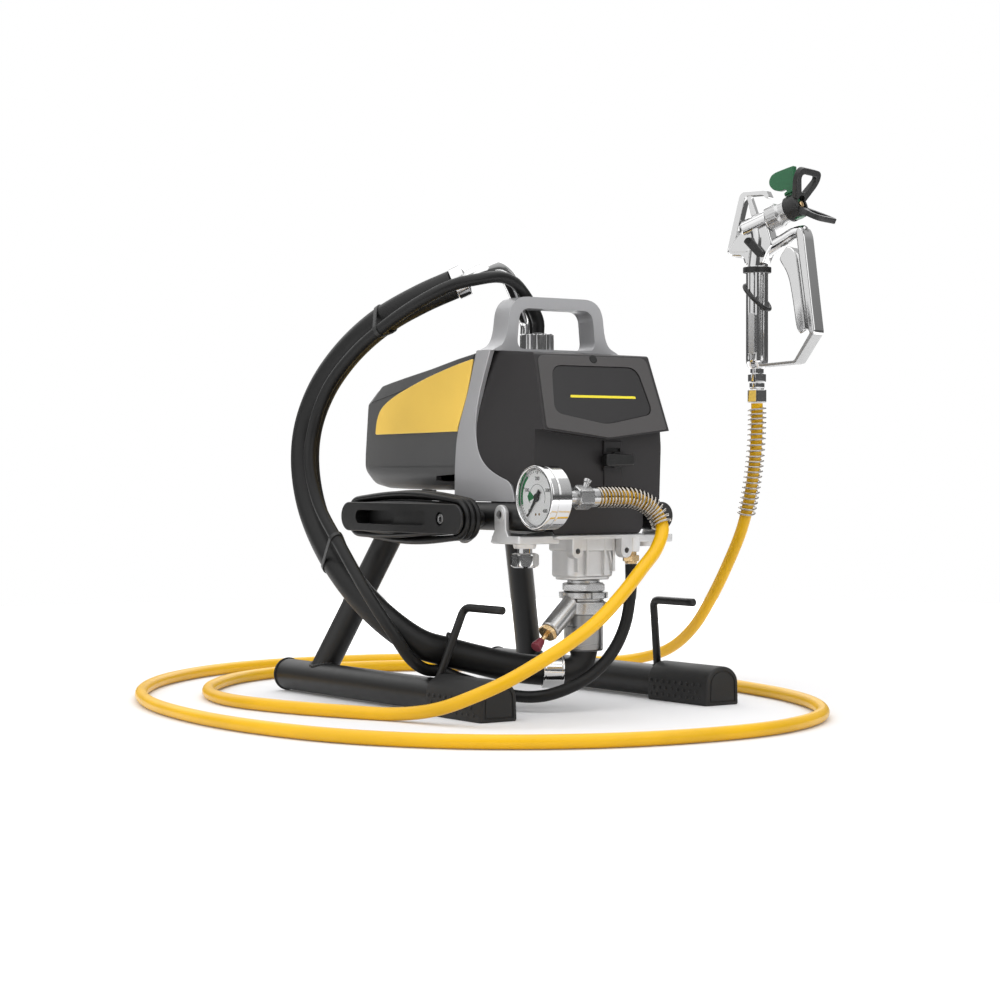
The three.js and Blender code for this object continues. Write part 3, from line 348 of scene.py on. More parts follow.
class Finish:
    """A procedural material. Its place socket is the row frame in metres."""

    def __init__(self, name, **shader):
        self.material = bpy.data.materials.new(name)
        self.material.use_nodes = True
        self.tree = self.material.node_tree
        self.shader = self.tree.nodes["Principled BSDF"]
        for socket, value in shader.items():
            self.shader.inputs[socket.replace("_", " ")].default_value = value
        self.place = self.node("ShaderNodeTexCoord", output="Object")

    def node(self, kind, settings=None, values=None, output=0):
        made = self.tree.nodes.new(kind)
        for key, value in (settings or {}).items():
            if key == "stops":
                ramp = made.color_ramp
                for i, (place, colour) in enumerate(value):
                    stop = ramp.elements[i] if i < 2 else ramp.elements.new(place)
                    stop.position, stop.color = place, (*colour, 1)
            else:
                setattr(made, key, value)
        for key, value in (values or {}).items():
            if isinstance(value, Value):
                self.tree.links.new(value.socket, made.inputs[key])
            else:
                made.inputs[key].default_value = value
        return Value(self, made.outputs[output])

    def feed(self, socket, value):
        self.tree.links.new(value.socket, self.shader.inputs[socket])
        return self

    def noise(self, scale, detail=3.0, stretch=None):
        place = self.place
        if stretch:
            place = self.node("ShaderNodeVectorMath", {"operation": "MULTIPLY"}, {0: place, 1: stretch})
        return self.node("ShaderNodeTexNoise", None, {"Vector": place, "Scale": scale, "Detail": detail}, "Fac")

    def blend(self, share, first, second):
        """A colour between two, by a share."""
        values = {0: share}
        for key, colour in ((6, first), (7, second)):
            values[key] = colour if isinstance(colour, Value) else (*colour, 1)
        return self.node("ShaderNodeMix", {"data_type": "RGBA"}, values, 2)

    def bump(self, height, strength, distance):
        return self.feed("Normal", self.node("ShaderNodeBump", None,
                         {"Height": height, "Strength": strength, "Distance": distance}))


def shade(grey_or_rgb):
    """An sRGB colour, 0 to 255, as linear light."""
    rgb = grey_or_rgb if isinstance(grey_or_rgb, tuple) else (grey_or_rgb,) * 3
    return tuple((c / 255 / 12.92) if c < 11 else ((c / 255 + 0.055) / 1.055) ** 2.4 for c in rgb)


def scaled(colour, factor):
    return tuple(c * factor for c in colour)


def moulded(name, colour, rough, grain, depth, sheen_spread=0.06, **shader):
    """Moulded plastic or rubber: faint cloudiness of colour, uneven gloss and a fine grain."""
    made = Finish(name, **shader)
    cloud = made.noise(14, 4)
    made.feed("Base Color", made.blend(cloud, scaled(colour, 0.9), scaled(colour, 1.1)))
    made.feed("Roughness", made.noise(45, 5) * (2 * sheen_spread) + (rough - sheen_spread))
    made.bump(made.noise(grain, 2), 0.35, depth)
    return made.material


def metal(name, colour, rough, grain, depth, spread=0.05, stretch=None, **shader):
    """Bare or plated metal: gloss that varies with handling, and a grain that may run one way."""
    made = Finish(name, Metallic=1.0, **shader)
    cloud = made.noise(9, 4)
    made.feed("Base Color", made.blend(cloud, scaled(colour, 0.93), scaled(colour, 1.05)))
    made.feed("Roughness", made.noise(60, 5, stretch) * (2 * spread) + (rough - spread))
    made.bump(made.noise(grain, 3, stretch), 0.3, depth)
    return made.material


def paint(name, colour, rough, flake=0.0, **shader):
    """Sprayed coating: orange peel, and a fine flake where it is a metallic one."""
    made = Finish(name, **shader)
    cloud = made.noise(10, 3)
    base = made.blend(cloud, scaled(colour, 0.93), scaled(colour, 1.07))
    if flake:
        spark = made.node("ShaderNodeTexVoronoi", None, {"Vector": made.place, "Scale": 2600.0}, "Color")
        light = made.node("ShaderNodeRGBToBW", None, {"Color": spark})
        base = made.blend(light * flake, base, scaled(colour, 1.6))
    made.feed("Base Color", base)
    made.feed("Roughness", made.noise(70, 4) * 0.1 + (rough - 0.05))
    made.bump(made.noise(700, 2), 0.18, 0.00012)
    return made.material


def cast_finish():
    """Die-cast aluminium, blasted: a mottled skin with small pits."""
    made = Finish("cast_metal", Metallic=0.85)
    cloud, pits = made.noise(40, 6), made.noise(900, 3)
    made.feed("Base Color", made.blend(cloud, shade(202), shade(232)))
    made.feed("Roughness", made.noise(120, 5) * 0.16 + 0.38)
    made.bump(pits + cloud * 0.6, 0.4, 0.00025)
    return made.material


def machined_finish(name, low, high, rough):
    """Machined steel: fine rings left by the tool, spaced along the pump's upright line."""
    made = Finish(name, Metallic=1.0)
    rings = made.node("ShaderNodeTexWave", {"bands_direction": "Z"},
                      {"Vector": made.place, "Scale": 420.0, "Distortion": 1.2, "Detail": 3.0}, "Fac")
    made.feed("Base Color", made.blend(made.noise(30, 5), shade(low), shade(high)))
    made.feed("Roughness", rings * 0.08 + made.noise(80, 4) * 0.08 + (rough - 0.08))
    made.bump(rings, 0.12, 0.0001)
    return made.material


def hose_finish(name, colour, rough, dark=0.82, **shader):
    """Extruded hose: soft colour drift along it, a smooth skin with faint draw marks."""
    made = Finish(name, **shader)
    made.feed("Base Color", made.blend(made.noise(7, 5).within(0.3, 0.7), scaled(colour, dark), colour))
    made.feed("Roughness", made.noise(90, 5) * 0.12 + (rough - 0.06))
    made.bump(made.noise(240, 4), 0.2, 0.00015)
    return made.material


BLACK_PAINT = paint("black_powder_coat", shade(20), 0.42, Coat_Weight=0.08, Coat_Roughness=0.3,
                    Specular_IOR_Level=0.4)
RUBBER = moulded("black_rubber", shade(28), 0.58, 900, 0.0002)
CHARCOAL = moulded("charcoal_plastic", shade((42, 40, 41)), 0.5, 2200, 0.00008, Specular_IOR_Level=0.4)
GREY = moulded("grey_plastic", shade(80), 0.46, 1800, 0.00008)
VISOR = moulded("visor_plastic", shade((70, 68, 68)), 0.5, 2200, 0.00008)
GLOSS_BLACK = moulded("gloss_black_plastic", shade(12), 0.34, 500, 0.00004, 0.04, Specular_IOR_Level=0.08)
BLACK_PLASTIC = moulded("black_plastic", shade(22), 0.38, 1400, 0.0001)
SILVER = paint("silver_metallic_paint", shade((178, 178, 180)), 0.4, 0.12, Metallic=0.35, Coat_Weight=0.3)
YELLOW = moulded("yellow_panel_plastic", shade((255, 213, 98)), 0.38, 1500, 0.00005, 0.04, Coat_Weight=0.2)
HOSE_YELLOW = hose_finish("yellow_hose", shade((243, 188, 4)), 0.34, 0.84, Specular_IOR_Level=0.4)
HOSE_BLACK = hose_finish("black_hose", shade(17), 0.44, 0.7, Specular_IOR_Level=0.32)
LEAD_BLACK = hose_finish("black_lead", shade(15), 0.4, 0.75, Specular_IOR_Level=0.4)
CAST = cast_finish()
STEEL = machined_finish("machined_steel", 168, 202, 0.28)
DARK_STEEL = machined_finish("grey_steel", 136, 168, 0.32)
CHROME = metal("polished_chrome", shade(218), 0.1, 160, 0.00006, 0.03)
SATIN = metal("satin_nickel", shade(188), 0.26, 900, 0.00006)
# The satin steel made rougher, a brushed gloss, and darker: the darker colour is painted shade, for the dark
# reflection on the gun strap's front face.
SHADED_STRAP_STEEL = metal("brushed_strap_shaded", shade(158), 0.34, 900, 0.00006)
SPRING = metal("spring_wire", shade((172, 166, 158)), 0.16, 700, 0.00006)
BRASS = metal("brass", shade((218, 188, 142)), 0.26, 700, 0.00008)
RED = moulded("dark_red_plastic", shade((118, 28, 46)), 0.34, 1200, 0.00006, Coat_Weight=0.3)
GREEN = moulded("green_plastic", shade((34, 98, 62)), 0.38, 1200, 0.00008)
BOARD = moulded("circuit_board", shade((34, 92, 60)), 0.4, 1500, 0.00005)
DIAL_WHITE = moulded("dial_card", shade(252), 0.5, 1600, 0.00002, 0.03)
DIAL_BLACK = moulded("dial_ink", shade(20), 0.5, 1600, 0.00002, 0.03)
DIAL_GREEN = moulded("dial_green_ink", shade((24, 132, 74)), 0.5, 1600, 0.00002, 0.03)
LABEL = moulded("label_film", shade((38, 37, 38)), 0.3, 1200, 0.00004, 0.04)
LINE_YELLOW = moulded("yellow_line", shade((240, 222, 52)), 0.35, 1200, 0.00003, 0.03)
# Near-black finish for the plugs, discs and floors set inside holes and slots: painted shade in the holes.
HOLE_SHADE = moulded("painted_hole_shade", shade(14), 0.6, 900, 0.0001)


def glass_finish():
    made = Finish("clear_cover", Transmission_Weight=1.0, IOR=1.45)
    made.feed("Base Color", made.blend(made.noise(20, 3), (0.96, 0.97, 0.97), (1, 1, 1)))
    made.feed("Roughness", made.noise(40, 4) * 0.03)
    return made.material


CLEAR = glass_finish()


def piece(made, name, finish, body="machine", stands_for=(), sharp=36, weighted=True):
    """Names a mesh, gives it its finish and smooth shading, sets what it rides on, and hides the packed parts it
    stands for.
    """
    made.name = made.data.name = name
    made.data.materials.clear()
    made.data.materials.append(finish)
    made.data.shade_smooth()
    made.data.set_sharp_from_angle(angle=math.radians(sharp))
    if weighted:
        even = made.modifiers.new("even_normals", "WEIGHTED_NORMAL")
        even.keep_sharp = True
    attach(made, body)
    if stands_for:
        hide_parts(*([stands_for] if isinstance(stands_for, str) else stands_for))
    return made


# ---- cords ----------------------------------------------------------------------------------------------------

SPRAY = [
    (-38, -198, 231), (-10, -199, 231), (12, -201, 229), (32, -206, 218), (38, -214, 200), (24, -223, 178),
    (-4, -232, 156), (-38, -241, 130), (-74, -246, 104), (-108, -246, 84), (-142, -240, 65), (-174, -229, 47),
    (-200, -206, 31), (-216, -165, 16), (-232, -115, 8), (-262, -50, 7.4), (-290, 35, 7.4), (-300, 120, 7.4),
    (-280, 205, 7.4), (-228, 290, 7.4), (-140, 370, 7.4), (-20, 410, 7.4), (100, 388, 7.4), (195, 318, 7.4),
    (250, 215, 7.4), (276, 100, 7.4), (276, 0, 7.4), (262, -90, 7.4), (238, -190, 7.4), (190, -290, 7.4),
    (115, -375, 7.4), (10, -428, 7.4), (-100, -438, 7.4), (-210, -415, 7.4), (-305, -355, 7.4), (-375, -255, 7.4),
    (-408, -120, 7.4), (-408, 20, 7.4), (-380, 160, 7.4), (-320, 290, 7.4), (-220, 410, 7.4), (-90, 490, 7.4),
    (60, 505, 7.4), (200, 460, 7.4), (300, 375, 7.4), (352, 285, 8), (364, 215, 19), (362, 165, 34),
    (353, 112, 62), (344, 68, 99), (338, 28, 145), (335, -2, 190), (335, -16, 230), (336, -24, 275),
    (336.6, -26.5, 312), (336.6, -26.5, 339.8),
]
SUCTION = [
    (-19, -115, 42), (-42, -102, 43), (-70, -84, 47), (-100, -66, 55), (-130, -52, 64), (-155, -43, 72),
    (-178, -26, 90), (-193, 16, 121), (-200, 72, 169), (-201, 112, 220), (-198, 131, 270), (-192, 133, 310),
    (-184, 116, 351), (-172, 82, 390), (-156, 35, 423), (-131, -8, 447), (-106, -31, 461.5),
]
RETURN = [
    (46.5, -150, 157.4), (46, -151, 138), (44, -151, 118), (37, -152, 92), (22, -152, 66), (0, -150, 44),
    (-28, -144, 28), (-58, -130, 18), (-80, -104, 18), (-104, -76, 29), (-122, -63, 36), (-138, -55, 43.5),
    (-154, -52, 45.2), (-174, -53, 56.5), (-194, -49, 84), (-208, -24, 122), (-214, 22, 172), (-217, 70, 224),
    (-216, 90, 270), (-208, 94, 309), (-199, 79, 350), (-186, 44, 388), (-169, -2, 420), (-150, -40, 443),
    (-127, -62, 458), (-100, -70, 465), (-72, -68, 469), (-46, -58, 466), (-21, -43, 456), (-4, -40, 437),
    (3, -39, 424), (3, -39, 412),
]
PIPE = [
    (-106, -31, 461.5), (-93, -41.5, 469), (-77, -46, 477), (-58, -42, 481), (-36, -33, 474), (-17, -24, 456),
    (-3, -20, 434), (2, -20, 422), (2, -20, 411.6),
]
LEAD = [
    (-38, 122, 236.4), (-39, 126, 222), (-46, 138, 206), (-62, 152, 195), (-84, 161, 193), (-102, 160, 200),
    (-111, 148, 212),
]
TAIL = [(-111, -56, 184.5), (-98, -44, 183.5), (-84, -32, 186), (-68, -18, 192), (-54, 0, 203), (-48, 16, 212)]
WRAP_Z = 207
SPRAY_D, SUCTION_D, RETURN_D, MAINS_D = 14, 32, 13, 7


def declare(made, line, diameter, **facts):
    length_of(line) * 0.001


# Gun frame: heights kept, +X towards the muzzle, turned and set where the gun stands.
GUN_PLACE = Vector((336.6, -26.5, 0))
GUN_TURN = Matrix.Rotation(math.radians(-70), 4, "Z")


def on_gun(made):
    move = Matrix.Translation(at(*GUN_PLACE)) @ GUN_TURN @ Matrix.Translation(-at(0, 0, 0))
    made.data.transform(move)
    return made




def swivel_flats(a, r, d):
    """Six slightly rounded spanner flats on the swivel's lower half."""
    return r * min(1.0, 0.868 / math.cos((a % (math.pi / 3)) - math.pi / 6) + 0.02) if d < 356.5 and r > 10 else r


connector_line = smooth_profile([(7.2, 341), (12.5, 341), (12.5, 356), (8.4, 356), (8.4, 358), (9, 358.6),
                                 (9, 364.4), (0, 364.4)], 0.9)
connector = turned("gun_connector_part", connector_line, (0, 0, 0), (0, 0, 1), 72, swivel_flats)
piece(on_gun(connector), "hose_swivel", CHROME, "machine", "gun_connector", 30)

spray_line = catmull(SPRAY, 5)
spray = tube("spray_hose_part", spray_line, SPRAY_D / 2, 24)
piece(spray, "spray_line", HOSE_YELLOW, "machine", "spray_hose", weighted=False)
declare(spray, spray_line, SPRAY_D, far_end="tool", stiffness="medium", lay="loose", with_pieces=[connector])

suction_line = catmull(SUCTION, 5)
suction = tube("suction_hose_part", suction_line, SUCTION_D / 2, 40)
piece(suction, "suction_line", HOSE_BLACK, "machine", "suction_hose", weighted=False)

pipe_line = catmull(PIPE, 3)
ferrule_way = (Vector(PIPE[1]) - Vector(PIPE[0])).normalized()
ferrule = turned("ferrule_part",
                 smooth_profile([(15.8, 1), (18, 1), (18, 15), (12, 17.2), (9.4, 17.8), (0, 17.8)], 1.4),
                 PIPE[0], ferrule_way, 64)
pipe = gather("pipe", [tube("pipe_part", pipe_line[2:], 8.5, 32), ferrule])
piece(pipe, "suction_tube", CHROME, "machine", "suction_pipe", 40)
declare(suction, suction_line, SUCTION_D, far_end="fitting", stiffness="medium", lay="hanging",
        with_pieces=[pipe])

return_line = catmull(RETURN, 4)
return_tube = tube("return_hose_part", return_line, RETURN_D / 2, 24)
piece(return_tube, "return_line", HOSE_BLACK, "machine", "return_hose", weighted=False)
declare(return_tube, return_line, RETURN_D, far_end="object", stiffness="medium", lay="hanging")


def hose_tie(name, near):
    """A flat strap round the suction hose and the return hose, square to them."""
    middle = min(range(1, len(suction_line) - 1), key=lambda i: (suction_line[i] - Vector(near)).length)
    first = suction_line[middle]
    second = min(return_line, key=lambda q: (q - first).length)
    way = (suction_line[middle + 1] - suction_line[middle - 1]).normalized()
    across = second - first
    across -= way * across.dot(way)
    gap = across.length
    across.normalize()
    over = way.cross(across)
    large, small = SUCTION_D / 2 + 0.4, RETURN_D / 2 + 0.4
    open_angle = math.acos((large - small) / gap)
    ring = []
    for k in range(41):
        ring.append((0, large, open_angle + (2 * math.pi - 2 * open_angle) * k / 40))
    for k in range(17):
        ring.append((gap, small, -open_angle + 2 * open_angle * k / 16))
    points, faces = [], []
    for centre, radius, angle in ring:
        for thick, width in ((0, -2.4), (0, 2.4), (1.1, 2.0), (1.1, -2.0)):
            r = radius + thick
            points.append(first + across * (centre + r * math.cos(angle)) + over * (r * math.sin(angle)) + way * width)
    count = len(ring)
    for i in range(count):
        j = (i + 1) % count
        for k in range(4):
            m = (k + 1) % 4
            faces.append((4 * i + k, 4 * i + m, 4 * j + m, 4 * j + k))
    lock_place = first - across * (large + 2)
    lock = block("lock", (-2.6, -3, -2.6), (2.6, 3, 2.6), 0.7)
    turn = Matrix((across, way, over)).transposed().to_4x4()
    lock.data.transform(Matrix.Translation(at(*lock_place)) @ turn @ Matrix.Translation(-at(0, 0, 0)))
    return piece(gather(name, [mesh_object("strap", points, faces), lock]), name, BLACK_PLASTIC,
                 sharp=40,
                 weighted=False)


hose_tie("upper_hose_tie", (-150, 30, 425))
hose_tie("middle_hose_tie", (-199, 60, 158))
hose_tie("lower_hose_tie", (-130, -52, 64))


def wound_line():
    """The lead's turns on the wrap, from the rear of the first top run to the foot of the last front bend."""
    layers = [(-112.5, 12.4), (-119.8, 12.4), (-127, 12.4), (-134, 12.4), (-130.6, 19.6), (-123.4, 19.6),
              (-116.2, 19.6)]
    bulge = (3.0, 1.5, 4.5, 2.5, 6.5, 4.0, 7.5)
    rear, front = 124.0, -74.0
    line = []
    for i, (x, half) in enumerate(layers):
        for k in range(0 if i else 1, 10):
            t = k / 10
            line.append((x, rear + (front - rear) * t, WRAP_Z + half + bulge[i] * math.sin(math.pi * t)))
        for a in range(0, 181, 20):
            t = math.radians(a)
            line.append((x, front - half * math.sin(t), WRAP_Z + half * math.cos(t)))
        if i == len(layers) - 1:
            break
        next_x, next_half = layers[i + 1]
        for k in range(1, 10):
            t = k / 10
            drift = t * t * (3 - 2 * t)
            h = half + (next_half - half) * drift
            line.append((x + (next_x - x) * drift, front + (rear - front) * t,
                         WRAP_Z - h - bulge[i] * math.sin(math.pi * t)))
        for a in range(0, 161, 20):
            t = math.radians(a)
            line.append((next_x, rear + next_half * math.sin(t), WRAP_Z - next_half * math.cos(t)))
    return line


mains_line = catmull(LEAD + wound_line() + TAIL, 3.5)
mains = tube("mains_part", mains_line, MAINS_D / 2, 14)
piece(mains, "mains_cord", LEAD_BLACK, "machine", ("mains_lead", "mains_coil"), weighted=False)
plug = turned("plug_part",
              smooth_profile([(0, 0), (4.6, 0), (5.6, 8), (6.4, 10), (9.6, 15), (16.6, 18.5), (17.6, 24),
    (17.6, 43), (15.5, 46), (0, 46)], 1.6), (-47, 14, 211.6), (0, 1, 0), 48,
    lambda a, r, d: r * (1 - 0.09 * (0.5 - 0.5 * math.cos(2 * a))) if r > 12 else r)
piece(plug, "mains_plug_body", BLACK_PLASTIC, "machine", "mains_plug", 40)
relief_line = catmull(LEAD[:4], 0.5)
relief_line = relief_line[:max(i for i in range(2, len(relief_line)) if length_of(relief_line[:i]) < 26)]
boot = tube("boot", relief_line, lambda t: 7.0 - 2.5 * t + 0.5 * math.sin(2 * math.pi * 7 * t) * (1 - t), 28)
boot_collar = turned("collar", smooth_profile([(0, 0), (9.4, 0), (9.4, 1.6), (7.4, 2.4), (0, 2.4)], 0.5),
                     LEAD[0], (0, 0, -1), 40)
relief = gather("relief", [boot, boot_collar])
piece(relief, "lead_strain_relief", RUBBER, weighted=False)
declare(mains, mains_line, MAINS_D, far_end="plug", stiffness="medium", lay="coiled", with_pieces=[plug, relief])
print("cord lengths (m):",
      [round(length_of(q) * 0.001, 3) for q in (spray_line, suction_line, return_line, mains_line)])

# ---- skid frame -----------------------------------------------------------------------------------------------

SIDES = (("left", -1), ("right", 1))
SKID_X, SKID_Z, SKID_RADIUS = 150.6, 19.4, 17.9
RAIL_X, RAIL_Z = 82, 209.5
HOOK_X, HOOK_Z = 129, 113


def ring_profile(inner, outer, start, end, edge=0.6):
    corners = [(inner, start), (outer, start), (outer, end), (inner, end)]
    rounded_corners = soften(corners, edge, 2)
    return rounded_corners + [rounded_corners[0]]


def weld(name, foot, way, radius, centre_x, centre_z, tube_radius, bead):
    """The rippled bead where a tube runs into a tube along Y."""
    way = Vector(way).normalized()
    u = way.orthogonal().normalized()
    w = way.cross(u)
    line = []
    for k in range(73):
        a = 2 * math.pi * k / 72
        q = Vector(foot) + (u * math.cos(a) + w * math.sin(a)) * radius
        dx, dz = q.x - centre_x, q.z - centre_z
        qa, qb, qc = way.x**2 + way.z**2, 2 * (dx * way.x + dz * way.z), dx * dx + dz * dz - tube_radius**2
        root = max(qb * qb - 4 * qa * qc, 0)
        line.append(q + way * (-qb + math.sqrt(root)) / (2 * qa))
    return tube(name, line, lambda t: bead * (1 + 0.16 * math.sin(2 * math.pi * 30 * t)), 10)


def foot_pad(side):
    x = side * SKID_X
    top = [math.radians(a) for a in range(0, 181, 9)]
    outline = [(x - 23.2, 0), (x + 23.2, 0)] + [(x + 22.4 * math.cos(a), 24.4 + 18.6 * math.sin(a)) for a in top]
    pad = rounded(prism("pad", outline, "y", -181.3, -77.4), 2.4, 4, 40)
    inner = [(x + (a - x) * 0.8, 3.4 + b * 0.82) for a, b in outline]
    panel = prism("panel", inner, "y", -183, -180.2)
    pad = cut(pad, panel,
              turned("bore", [(0, 0), (18.2, 0), (18.2, 80), (0, 80)], (x, -149.7, SKID_Z), (0, 1, 0), 48))
    raised = rounded(prism("raised", [(x + (a - x) * 0.72, 5.0 + b * 0.75) for a, b in outline], "y", -181.1,
                           -179.5), 0.7, 3, 40)
    studs = []
    for face in (-1, 1):
        for row in range(3):
            for k in range(9):
                spot = (x + face * 23.0, -168 + k * 10.6 + (5.3 if row == 1 else 0), 7.5 + row * 7.4)
                if spot[1] < -80:
                    studs.append(turned("stud", [(2.1, 0), (1.9, 0.5), (1.2, 0.9), (0, 1.05)], spot,
                                        (face, 0, 0), 14))
    return gather("foot", [pad, raised] + studs)


for name, side in SIDES:
    x = side * SKID_X
    skid = turned("skid", ring_profile(15.7, SKID_RADIUS, -149, 250.2), (x, 0, SKID_Z), (0, 1, 0), 64)
    knee = Vector((side * 91, 126, 180))
    foot = Vector((x, 181, SKID_Z))
    piece(skid, name + "_skid", BLACK_PAINT, stands_for=name + "_skid_tube")
    end = turned("end",
                 smooth_profile([(15, 236), (15, 250.6), (19.3, 250.6), (19.3, 253.2), (14, 256.6), (6, 257.6),
                                 (0, 257.7)], 1.4, 4),
                 (x, 0, SKID_Z), (0, 1, 0), 64)
    piece(end, name + "_skid_end", RUBBER, stands_for=name + "_skid_plug")
    piece(foot_pad(side), name + "_rubber_foot", RUBBER, stands_for=name + "_foot_pad",
          weighted=False)
    shoulder = Vector((side * RAIL_X, 62, RAIL_Z))
    leg_line = [foot.lerp(knee, k / 10) for k in range(10)] + bezier(knee, (side * 84, 112, 212.5), shoulder, 22)
    leg_line += [shoulder.lerp(Vector((side * RAIL_X, -155.6, RAIL_Z)), k / 8) for k in range(1, 9)]
    leg = gather("leg", [tube("leg", leg_line, 15.2, 48),
                         weld("bead", foot, knee - foot, 15.2, x, SKID_Z, SKID_RADIUS, 1.8)])
    piece(leg, name + "_leg", BLACK_PAINT, stands_for=name + "_leg_tube", weighted=False)
    cap = turned("cap",
                 smooth_profile([(12, -14), (12, -0.2), (15.3, -0.2), (15.3, 3.9), (10.5, 3.9), (10, 3.5),
                                 (0, 3.5)], 1.1, 3),
                 (side * RAIL_X, -156, RAIL_Z), (0, -1, 0), 64)
    piece(cap, name + "_rail_cap", RUBBER, stands_for=name + "_rail_plug")
    root = Vector((x, -67.4, 33.3))
    near = Vector((side * 131.5, -84.1, 104))
    far = Vector((side * HOOK_X, -97, HOOK_Z))
    hook_line = [root.lerp(near, k / 8) for k in range(8)] + bezier(near, (side * HOOK_X, -86, HOOK_Z), far, 14)
    hook_line += [far.lerp(Vector((side * HOOK_X, -156.6, HOOK_Z)), k / 6) for k in range(1, 7)]
    hook = gather("hook", [tube("hook", hook_line, 4.4, 28, dome=1.4),
                           weld("bead", root, near - root, 4.4, x, SKID_Z, SKID_RADIUS, 1.1)])
    piece(hook, name + "_hose_hook", BLACK_PAINT, stands_for=name + "_bent_hook", weighted=False)

# ---- housing --------------------------------------------------------------------------------------------------

SCREW_AT, SCREW_WAY = (0, -142.3, 378.6), (0, 1, -0.35)
PRIME_AT = (19.6, -160, 270.3)
DIAL_AT = (83, -110, 345)
BAND = [(-46, 390), (-30, 345), (-9, 304), (-4, 270), (-3, 225.8), (-118, 225), (-112, 246), (-84, 254),
        (-66, 262), (-52, 274), (-45, 292), (-43.5, 314), (-52, 345), (-73, 390)]
BAND_ROUND = [2, 30, 24, 20, 3, 3, 12, 12, 10, 14, 14, 24, 30, 2]


def handle():
    outer = soften([(-86, 388.8), (-67.5, 398), (-61.8, 448.5), (61.8, 448.5), (67.5, 398), (86, 388.8)],
                   [1, 20, 24, 24, 20, 1], 8)
    inner = soften([(-53.6, 391.4), (-49.5, 436), (49.5, 436), (53.6, 391.4)], [11, 14, 14, 11], 8)
    arch = rounded(cut(prism("arch", outer, "y", -77, -49), prism("window", inner, "y", -90, -30)), 3.6, 4, 50)
    bands = []
    for _, side in SIDES:
        low, high = sorted((side * 80.2, side * 86))
        bands.append(rounded(prism("band", soften(BAND, BAND_ROUND, 5), "x", low, high), 1.6, 3, 50))
    return gather("handle", [arch] + bands)


piece(handle(), "carrying_handle_and_bands", SILVER, stands_for="handle_frame")


def cover():
    side = [(-40, 387.5), (-72, 389), (-140.4, 384), (-175, 284), (-153, 282), (-151, 190.4), (-40, 190.4)]
    front = [(-76.5, 392), (-84.2, 304.3), (-85.6, 285), (-84.6, 226), (-62, 226), (-62, 198.4), (-56, 189.4),
             (56, 189.4), (62, 198.4), (62, 226), (84.6, 226), (85.6, 285), (84.2, 304.3), (76.5, 392)]
    body = common(prism("cover", soften(side, [0, 0, 3, 2, 0, 2, 0], 4), "x", -90, 90),
                  prism("front", soften(front, [9, 4, 4, 3, 0, 4, 4, 4, 4, 0, 3, 4, 4, 9], 5), "y", -200, 0))
    visor_line = [(-95, 303.3), (0, 292.5), (95, 303.3), (95, 180), (-95, 180)]
    body = cut(body, prism("recess", visor_line, "y", -200, -153))
    body = rounded(body, 1.6, 3, 35)
    hollow = common(prism("hollow", [(-39, 384), (-137, 380), (-149.5, 310), (-149.5, 290), (-149.5, 180),
                                     (-39, 180)], "x", -90, 90),
                    prism("hollow_front",
                          [(-73, 386), (-78, 300), (-78, 229.4), (-59, 229.4), (-59, 180), (59, 180),
                                           (59, 229.4), (78, 229.4), (78, 300), (73, 386)], "y", -200, 0))
    behind = [(-44, 392), (-47, 340), (-43, 300), (-50, 274), (-66, 260), (-114, 244), (-118.6, 224),
              (-30, 224), (-30, 392)]
    tools = [hollow]
    for _, s in SIDES:
        low, high = sorted((s * 79.8, s * 95))
        tools.append(prism("behind", behind, "x", low, high))
    tools.append(turned("screw_hole", [(0, -4), (4.6, -4), (4.6, 8), (0, 8)], SCREW_AT, SCREW_WAY, 40))
    tools.append(prism("slot", soften([(9, 278.6), (29, 278.6), (29, 283.6), (9, 283.6)], 0.8), "y", -154, -151))
    tools.append(turned("knob_hole", [(0, 0), (6.5, 0), (6.5, 20), (0, 20)], PRIME_AT, (0, 1, 0), 32))
    return cut(body, on_face("seat", PLATE, -2.2, 3, PLATE_ROUND, 0), *tools)


LEAN = Vector((0, -27.9, -79.7)).normalized()
FACE_OUT = Vector((0, -79.7, 27.9)).normalized()
FACE_TOP = Vector((0, -140.4, 384))
PLATE = [(-57.4, 371), (57.4, 371), (66.8, 320), (0, 308), (-66.8, 320)]
PLATE_ROUND = [13, 13, 11, 9, 11]


def on_face(name, outline, low, high, radii, edge, steps=6):
    """A plate on the leaning front: (x, z) corners, and how far its two faces stand out."""
    flat = [(x, (384 - z) / -LEAN.z) for x, z in soften(outline, radii, steps)]
    plate = prism(name, flat, "z", low, high)
    plate = rounded(plate, edge, 3, 50) if edge else plate
    for vertex in plate.data.vertices:
        q = (vertex.co - ORIGIN) * 1000
        vertex.co = at(*(FACE_TOP + Vector((q.x, 0, 0)) + LEAN * q.y + FACE_OUT * q.z))
    plate.data.flip_normals()
    return plate


piece(cover(), "front_cover_moulding", CHARCOAL, stands_for="front_cover", sharp=28)

surround = on_face("surround", [(-73.4, 381.5), (73.4, 381.5), (80.8, 303.6), (0, 293.8), (-80.8, 303.6)], -1.5,
                   0.9,
                   [9, 9, 3, 2, 3], 0.7)
surround = cut(surround, on_face("window", PLATE, -3, 3, PLATE_ROUND, 0),
               turned("hole", [(0, -8), (4.9, -8), (4.9, 8), (0, 8)], SCREW_AT, SCREW_WAY, 40))
piece(surround, "visor_surround", VISOR, sharp=28)
plate = on_face("plate", [(-56.8, 370.5), (56.8, 370.5), (66.2, 320.4), (0, 308.5), (-66.2, 320.4)], -1.6, -0.1,
                [13, 13, 11, 9, 11], 0.4)
piece(plate, "blank_label_plate", LABEL, stands_for="front_label_plate", sharp=28)
stripe = on_face("stripe", [(-40, 339.2), (47, 339.2), (47.6, 336.6), (-40.6, 336.6)], -0.3, 0.15, 0.5, 0)
piece(stripe, "label_line", LINE_YELLOW)
